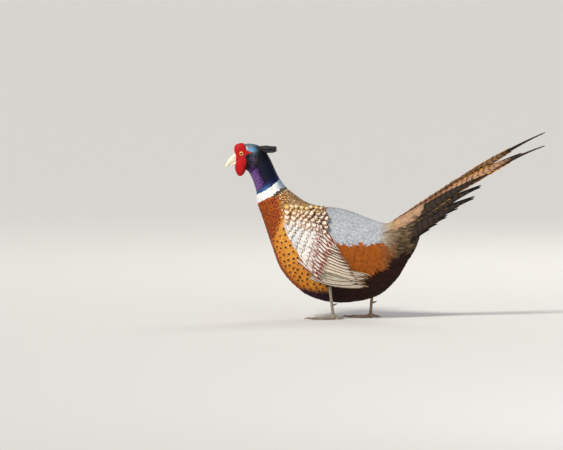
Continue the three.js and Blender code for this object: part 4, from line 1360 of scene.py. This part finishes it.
class PHEASANT_OT_tufts(bpy.types.Operator):
    """Ear tufts, feather by feather"""

    bl_idname = "pheasant.tufts"
    bl_label = "Ear tufts"

    def execute(self, context):
        c = COLOUR
        material = plumage_material("tuft_feathers", 0.35, 30.0, 0.15, 0.3, Metallic=0.35, Sheen_Weight=0.15)
        for name, (side, _, _) in LEGS.items():
            draw = random.Random(context.scene.pheasant.seed + 3)
            blades = []
            for i in range(46):
                u = draw.uniform(-0.5, 0.5)
                long = i < 26
                reach = 27 * (draw.uniform(0.86, 1.02) if long else draw.uniform(0.3, 0.7))
                root = (-263 + draw.uniform(-5, 6), side * (9.0 + draw.uniform(-2.5, 2.8)), 346.5 + u * 10)
                aside = side * (8.0 + draw.uniform(-1.6, 2.0))
                tip = (-249 + reach, aside, 346.2 + u * 11.8 + draw.uniform(-0.7, 0.7))
                place = space_place(root, tip, 84 + draw.uniform(-14, 14), draw.uniform(-0.8, 0.8), side, 2)
                blade = sheet_blade(place, draw.uniform(1.2, 2.0), "flight", 0.2)
                tone = blend_colour(c["black"], c["neck_blue"], 0.15 * draw.random())
                look = dict(tone=tone, rim=c["black"], mark=c["black"], marks=(0.8, 0, 0), patch=0.01)
                blades.append((blade, look, (0.03 + 0.02 * i, 0.5)))
            tuft = join_blades(f"tuft_feathers_{name}", blades)
            set_piece(tuft, material, (f"tuft_{name}",))
        return {"FINISHED"}


def refined(name, nodes, voxel, rounds):
    """Copies of the frame's nodes as one finely remeshed, smoothed piece."""
    bm = bmesh.new()
    for node in nodes:
        bm.from_mesh(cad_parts[node].data)
    bmesh.ops.remove_doubles(bm, verts=bm.verts, dist=1e-6)
    piece = from_bmesh(name, bm)
    even_out(piece, voxel, rounds)
    return piece


# The bare face from the side: its outline from the bill's root upwards, in mm
FACE_OUTLINE = [
    (-304.6, 333.5), (-307.9, 341.0), (-308.6, 349.5), (-306.2, 355.8), (-300.5, 358.8), (-293.5, 359.3),
    (-287.6, 356.8), (-284.6, 351.6), (-283.6, 346.2), (-279.0, 343.4), (-269.4, 341.2), (-277.6, 338.2),
    (-282.0, 334.6), (-282.9, 326.0), (-284.4, 314.0), (-287.3, 302.0), (-291.6, 294.6), (-296.6, 292.0),
    (-302.0, 295.2), (-305.7, 302.4), (-307.2, 311.0), (-305.2, 320.4), (-303.4, 324.0), (-304.4, 328.0),
]
# Creases of the face: start, end, depth and width in mm
FACE_CREASES = [
    ((-308, 323.0), (-298, 326.5), 0.9, 1.9),
    ((-284, 330), (-289, 329), 0.7, 1.6),
    ((-303, 351), (-296, 347.5), 0.7, 1.2),
    ((-303, 345), (-299, 340), 0.6, 1.0),
]


def smooth_ring(points, count):
    """Places evenly spaced along a closed smooth line through the points."""
    n = len(points)
    fine = []
    for i in range(n):
        a, b, c, d = (np.array(points[(i + k) % n]) for k in (-1, 0, 1, 2))
        for u in np.linspace(0, 1, 24, endpoint=False):
            fine.append(through(a, b, c, d, u))
    fine = np.array(fine + [fine[0]])
    run = np.concatenate([[0], np.cumsum(np.linalg.norm(np.diff(fine, axis=0), axis=1))])
    at = np.linspace(0, run[-1], count, endpoint=False)
    return np.stack([np.interp(at, run, fine[:, 0]), np.interp(at, run, fine[:, 1])], axis=1)


def ring_reach():
    """The face's outline as directions from the eye and the reach in each."""
    away = smooth_ring(FACE_OUTLINE, 120) - np.array((EYE[0], EYE[2]))
    return np.arctan2(away[:, 1], away[:, 0]), np.linalg.norm(away, axis=1)


FACE_REACH = ring_reach()


def ridge(value, centre, width):
    """1 at the centre, falling off smoothly to both sides."""
    return math.exp(-(((value - centre) / width) ** 2))


def face_relief(x, z):
    """Level of the face's surface over its plain dome, and a weight for painted shade: how deep in a fold or
    the eye's socket the place is, below zero on the lids' rim.
    """
    fold = 0.0
    for start, end, deep, wide in FACE_CREASES:
        a, b = np.array(start), np.array(end)
        along = min(max(np.dot((x, z) - a, b - a) / np.dot(b - a, b - a), 0), 1)
        fold += deep * math.exp(-((np.linalg.norm((x, z) - a - (b - a) * along) / wide) ** 2))
    wave = math.cos(2 * math.pi * (x + 301.5 + 0.8 * math.sin(z * 0.22)) / 4.4)
    fold += 0.5 * (1 - wave) * 0.85 * ramp(z, 323, 310)
    bulge = 1.4 * near(x, z, -297.5, 351, 10, 7) + 1.3 * near(x, z, -295.5, 307, 11, 15)
    bulge += 0.6 * near(x, z, -302, 338, 5, 8)
    open_eye = math.hypot((x - EYE[0]) / 4.1, (z - EYE[2]) / (4.3 if z > EYE[2] else 4.7))
    rim = ridge(open_eye, 1.14, 0.11)
    lid = 0.9 * rim + 0.5 * ridge(open_eye, 1.36, 0.14) - 0.6 * ridge(open_eye, 1.62, 0.15)
    socket = 6.0 * ramp(open_eye, 1.04, 0.86)
    return bulge + lid - fold - socket, (fold + 1.2 * ramp(open_eye, 1.0, 0.84)) * (1 - rim) - rim


class PHEASANT_OT_face(bpy.types.Operator):
    """Bare red face on both sides: brow, lids, streak behind the eye and folded wattle"""

    bl_idname = "pheasant.face"
    bl_label = "Bare face"

    def execute(self, context):
        material = face_material("bare_face", tuple(context.scene.pheasant.face_colour))
        around, rings, inner = 176, 62, 10
        outline = smooth_ring(FACE_OUTLINE, around)
        eye = np.array((EYE[0], EYE[2]))
        rims = []
        for x, z in outline:
            reach = Body.side((x + SHIFT) * MM, z * MM) / MM
            rims.append(min(max(reach - 0.6, 8.5), 15.5) if reach else 10.5)
        rims = np.array(rims)
        for _ in range(4):
            rims = (np.roll(rims, 1) + rims * 2 + np.roll(rims, -1)) / 4

        def place(s, a, side):
            k = int(round(a / (2 * math.pi) * around)) % around
            row = s * (rings - 1)
            outer = rings - 1 - inner
            q = 0.03 + 0.97 * row / outer if row <= outer else 1 - 0.8 * (row - outer) / inner
            away = outline[k] - eye
            far = np.linalg.norm(away)
            dist = q / 0.25 * 7.0 if q < 0.25 else 7.0 + (q - 0.25) / 0.75 * (far - 7.0)
            x, z = eye + away / far * dist
            if row > outer:
                y = min(rims[k], 10.5) - 1.2 * (1 - q)
            else:
                share = max(0.0, (q - 0.25) / 0.75)
                dome = math.sqrt(max(0.0, 1 - share**2.4))
                y = rims[k] + (17.2 + face_relief(x, z)[0] - rims[k]) * dome
            return Vector((x + SHIFT, side * y, z)) * MM

        for name, (side, _, _) in LEGS.items():
            bm = bmesh.new()
            tube_shell(bm, rings, around, lambda s, a, side=side: place(s, a, side))
            piece = from_bmesh(f"bare_face_{name}", bm)
            smooth(piece)
            # The fold attribute carries the weight of painted shade in the folds and the socket, and of the
            # lids' paler rim
            folds = [face_relief(v.co.x / MM - SHIFT, v.co.z / MM)[1] for v in piece.data.vertices]
            piece.data.attributes.new("fold", "FLOAT", "POINT").data.foreach_set("value", folds)
            set_piece(piece, material, (f"wattle_{name}",))
        return {"FINISHED"}


class PHEASANT_OT_eyes(bpy.types.Operator):
    """Eyes with pupil and iris under a wet front"""

    bl_idname = "pheasant.eyes"
    bl_label = "Eyes"

    def execute(self, context):
        material = eye_material("eye")
        for name, (side, _, _) in LEGS.items():
            bm = bmesh.new()
            bmesh.ops.create_uvsphere(bm, u_segments=48, v_segments=32, radius=6.6 * MM)
            axis = Vector((-0.12, side, 0.04)).normalized()
            turn = axis.to_track_quat("Z", "Y").to_matrix()
            bmesh.ops.rotate(bm, verts=bm.verts, matrix=turn)
            centre = Vector((EYE[0] + SHIFT, side * EYE[1], EYE[2])) * MM
            bmesh.ops.translate(bm, verts=bm.verts, vec=centre)
            eye = from_bmesh(f"eyeball_{name}", bm)
            smooth(eye)
            turns = [(v.co - centre).normalized().angle(axis) / 0.95 for v in eye.data.vertices]
            eye.data.attributes.new("turn", "FLOAT", "POINT").data.foreach_set("value", turns)
            set_piece(eye, material, (f"eye_{name}",))
        return {"FINISHED"}


# Each half of the bill: ridge x and z, edge x and z, half width, in mm
BILL = {
    "upper": [
        (-299.0, 342.5, -296.5, 322.6, 9.0),
        (-308.5, 339.2, -304.4, 321.2, 8.2),
        (-315.5, 333.2, -311.5, 318.8, 7.0),
        (-321.4, 326.2, -317.8, 315.9, 5.4),
        (-325.6, 318.6, -322.6, 312.2, 3.8),
        (-327.7, 311.8, -325.8, 308.6, 2.1),
        (-327.9, 306.8, -327.2, 306.0, 0.6),
    ],
    "lower": [
        (-296.0, 324.0, -296.0, 312.4, 7.6),
        (-304.6, 322.6, -304.0, 313.4, 7.0),
        (-311.2, 319.8, -311.0, 313.4, 5.6),
        (-316.4, 316.9, -316.0, 313.2, 3.8),
        (-319.6, 314.4, -319.4, 313.2, 1.5),
    ],
}


def bill_point(rows, upper, s, a):
    """A place on one half of the bill, down its length and round it; the upper has the nostril."""
    t = s * (len(rows) - 1)
    i = min(int(t), len(rows) - 2)
    near_rows = [np.array(rows[min(max(k, 0), len(rows) - 1)]) for k in (i - 1, i, i + 1, i + 2)]
    rx, rz, ex, ez, half = through(*near_rows, t - i)
    up, out = math.cos(a), math.sin(a)
    boxy = 0.5 if (up < 0) == upper else 0.95
    y = half * math.copysign(abs(out) ** boxy, out)
    x, z = (rx + ex) / 2 + (rx - ex) / 2 * up, (rz + ez) / 2 + (rz - ez) / 2 * up
    if upper:
        cover = near(x, z, -309.0, 332.6, 5.0, 3.0)
        slit = math.exp(-(((x + 310.2) / 3.0) ** 2) - ((z - 329.9) / 0.9) ** 2)
        y += math.copysign(1.0 * cover - 1.9 * slit, out) * min(1.0, abs(out) * 2)
    return Vector(((x + SHIFT) * MM, y * MM, z * MM))


class PHEASANT_OT_bill(bpy.types.Operator):
    """Upper and lower bill"""

    bl_idname = "pheasant.bill"
    bl_label = "Bill"

    def execute(self, context):
        material = bill_material("bill_horn", tuple(context.scene.pheasant.bill_colour))
        for part, rows in BILL.items():
            bm = bmesh.new()
            tube_shell(bm, 90, 72, lambda s, a, rows=rows, part=part: bill_point(rows, part == "upper", s, a))
            piece = from_bmesh(f"bill_horn_{part}", bm)
            smooth(piece)
            set_piece(piece, material, (f"bill_{part}",))
        return {"FINISHED"}


class PHEASANT_OT_legs(bpy.types.Operator):
    """Scaly shanks and feet, with their claws and spurs"""

    bl_idname = "pheasant.legs"
    bl_label = "Legs"

    def execute(self, context):
        beige = tuple(context.scene.pheasant.leg_colour)
        tints = {"left": beige, "right": blend_colour(beige, COLOUR["rust"], 0.45)}
        horn = horn_material("claw_horn")
        for name in LEGS:
            scaly = (f"shank_{name}", f"foot_{name}")
            limb = refined(f"leg_{name}", scaly, 0.0006, 5)
            set_piece(limb, leg_material(f"scales_{name}", tints[name]), scaly)
            hard = [f"claw_{toe}_{name}" for toe in ("inner", "middle", "outer", "hind")] + [f"spur_{name}"]
            claws = refined(f"claws_{name}", hard, 0.0004, 2)
            set_piece(claws, horn, tuple(hard))
        return {"FINISHED"}


# The camera: what it looks at and its distance in metres, degrees from the side and above level, lens in mm
CAMERA_AIM = (-0.2119, 0.0, 0.1917)
CAMERA_DISTANCE = 9.62
CAMERA_AZIMUTH, CAMERA_HEIGHT = 4.0, 3.0
CAMERA_LENS = 300.0
# Each lamp: its place in metres, power, size and colour
LAMPS = {
    "fill": ((1.2, -2.2, 1.0), 9.0, 1.6, (0.95, 0.97, 1.0)),
    "back": ((0.8, 2.2, 2.2), 22.0, 1.2, (1.0, 0.97, 0.92)),
}


class PHEASANT_OT_stage(bpy.types.Operator):
    """Pale floor, soft lights and the camera"""

    bl_idname = "pheasant.stage"
    bl_label = "Stage"

    def execute(self, context):
        bm = bmesh.new()
        bmesh.ops.create_circle(bm, cap_ends=True, segments=96, radius=600.0)
        floor = from_bmesh("floor", bm)
        g = Graph("floor")
        g.finish(linear("d9d7d3"), 0.85)
        floor.data.materials.append(g.material)
        stage = [floor]
        world = bpy.data.worlds.new("studio")
        world.use_nodes = True
        world.node_tree.nodes["Background"].inputs["Color"].default_value = (0.86, 0.89, 0.94, 1)
        world.node_tree.nodes["Background"].inputs["Strength"].default_value = 0.42
        context.scene.world = world
        for name, (place, power, size, colour) in LAMPS.items():
            data = bpy.data.lights.new(name, "AREA")
            data.energy = power
            data.size = size
            data.color = colour
            lamp = new_object(name, data)
            lamp.location = place
            lamp.rotation_euler = (Vector((0, 0, 0.17)) - Vector(place)).to_track_quat("-Z", "Y").to_euler()
            stage.append(lamp)
        sun = bpy.data.lights.new("sun", "SUN")
        sun.energy = 3.0
        sun.angle = math.radians(14)
        sun.color = (1.0, 0.96, 0.9)
        lamp = new_object("sun", sun)
        lamp.rotation_euler = Vector((1.15, 1.5, -1.75)).to_track_quat("-Z", "Y").to_euler()
        stage.append(lamp)
        camera = new_object("camera", bpy.data.cameras.new("camera"))
        azimuth, height = math.radians(CAMERA_AZIMUTH), math.radians(CAMERA_HEIGHT)
        flat = math.cos(height)
        away = Vector((math.sin(azimuth) * flat, -math.cos(azimuth) * flat, math.sin(height)))
        camera.location = Vector(CAMERA_AIM) + away * CAMERA_DISTANCE
        camera.rotation_euler = (-away).to_track_quat("-Z", "Y").to_euler()
        camera.data.lens = CAMERA_LENS
        camera.data.sensor_width = 36.0
        camera.data.clip_end = 2000.0
        context.scene.camera = camera
        context.scene.view_settings.view_transform = "Standard"
        stage.append(camera)
        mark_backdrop(*stage)
        return {"FINISHED"}


OPERATORS = [
    PHEASANT_OT_skin,
    PHEASANT_OT_coat,
    PHEASANT_OT_wings,
    PHEASANT_OT_tail,
    PHEASANT_OT_tufts,
    PHEASANT_OT_face,
    PHEASANT_OT_eyes,
    PHEASANT_OT_bill,
    PHEASANT_OT_legs,
    PHEASANT_OT_stage,
]


class PHEASANT_PT_dressing(bpy.types.Panel):
    """Buttons for each piece, and the sizes they use"""

    bl_idname = "PHEASANT_PT_dressing"
    bl_label = "Pheasant"
    bl_space_type = "VIEW_3D"
    bl_region_type = "UI"
    bl_category = "Pheasant"

    def draw(self, context):
        for operator in OPERATORS:
            self.layout.operator(operator.bl_idname)
        for name in PheasantSizes.__annotations__:
            self.layout.prop(context.scene.pheasant, name)


def register():
    bpy.utils.register_class(PheasantSizes)
    bpy.types.Scene.pheasant = PointerProperty(type=PheasantSizes)
    for item in (*OPERATORS, PHEASANT_PT_dressing):
        bpy.utils.register_class(item)


def unregister():
    for item in (PHEASANT_PT_dressing, *reversed(OPERATORS)):
        bpy.utils.unregister_class(item)
    del bpy.types.Scene.pheasant
    bpy.utils.unregister_class(PheasantSizes)


def main():
    register()
    for operator in OPERATORS:
        family, action = operator.bl_idname.split(".")
        getattr(getattr(bpy.ops, family), action)()
    boxes = {"cad": CAD_BOX, "visual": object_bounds()}
    plain = {key: [[float(v) for v in corner] for corner in box] for key, box in boxes.items()}


if __name__ == "__main__":
    main()
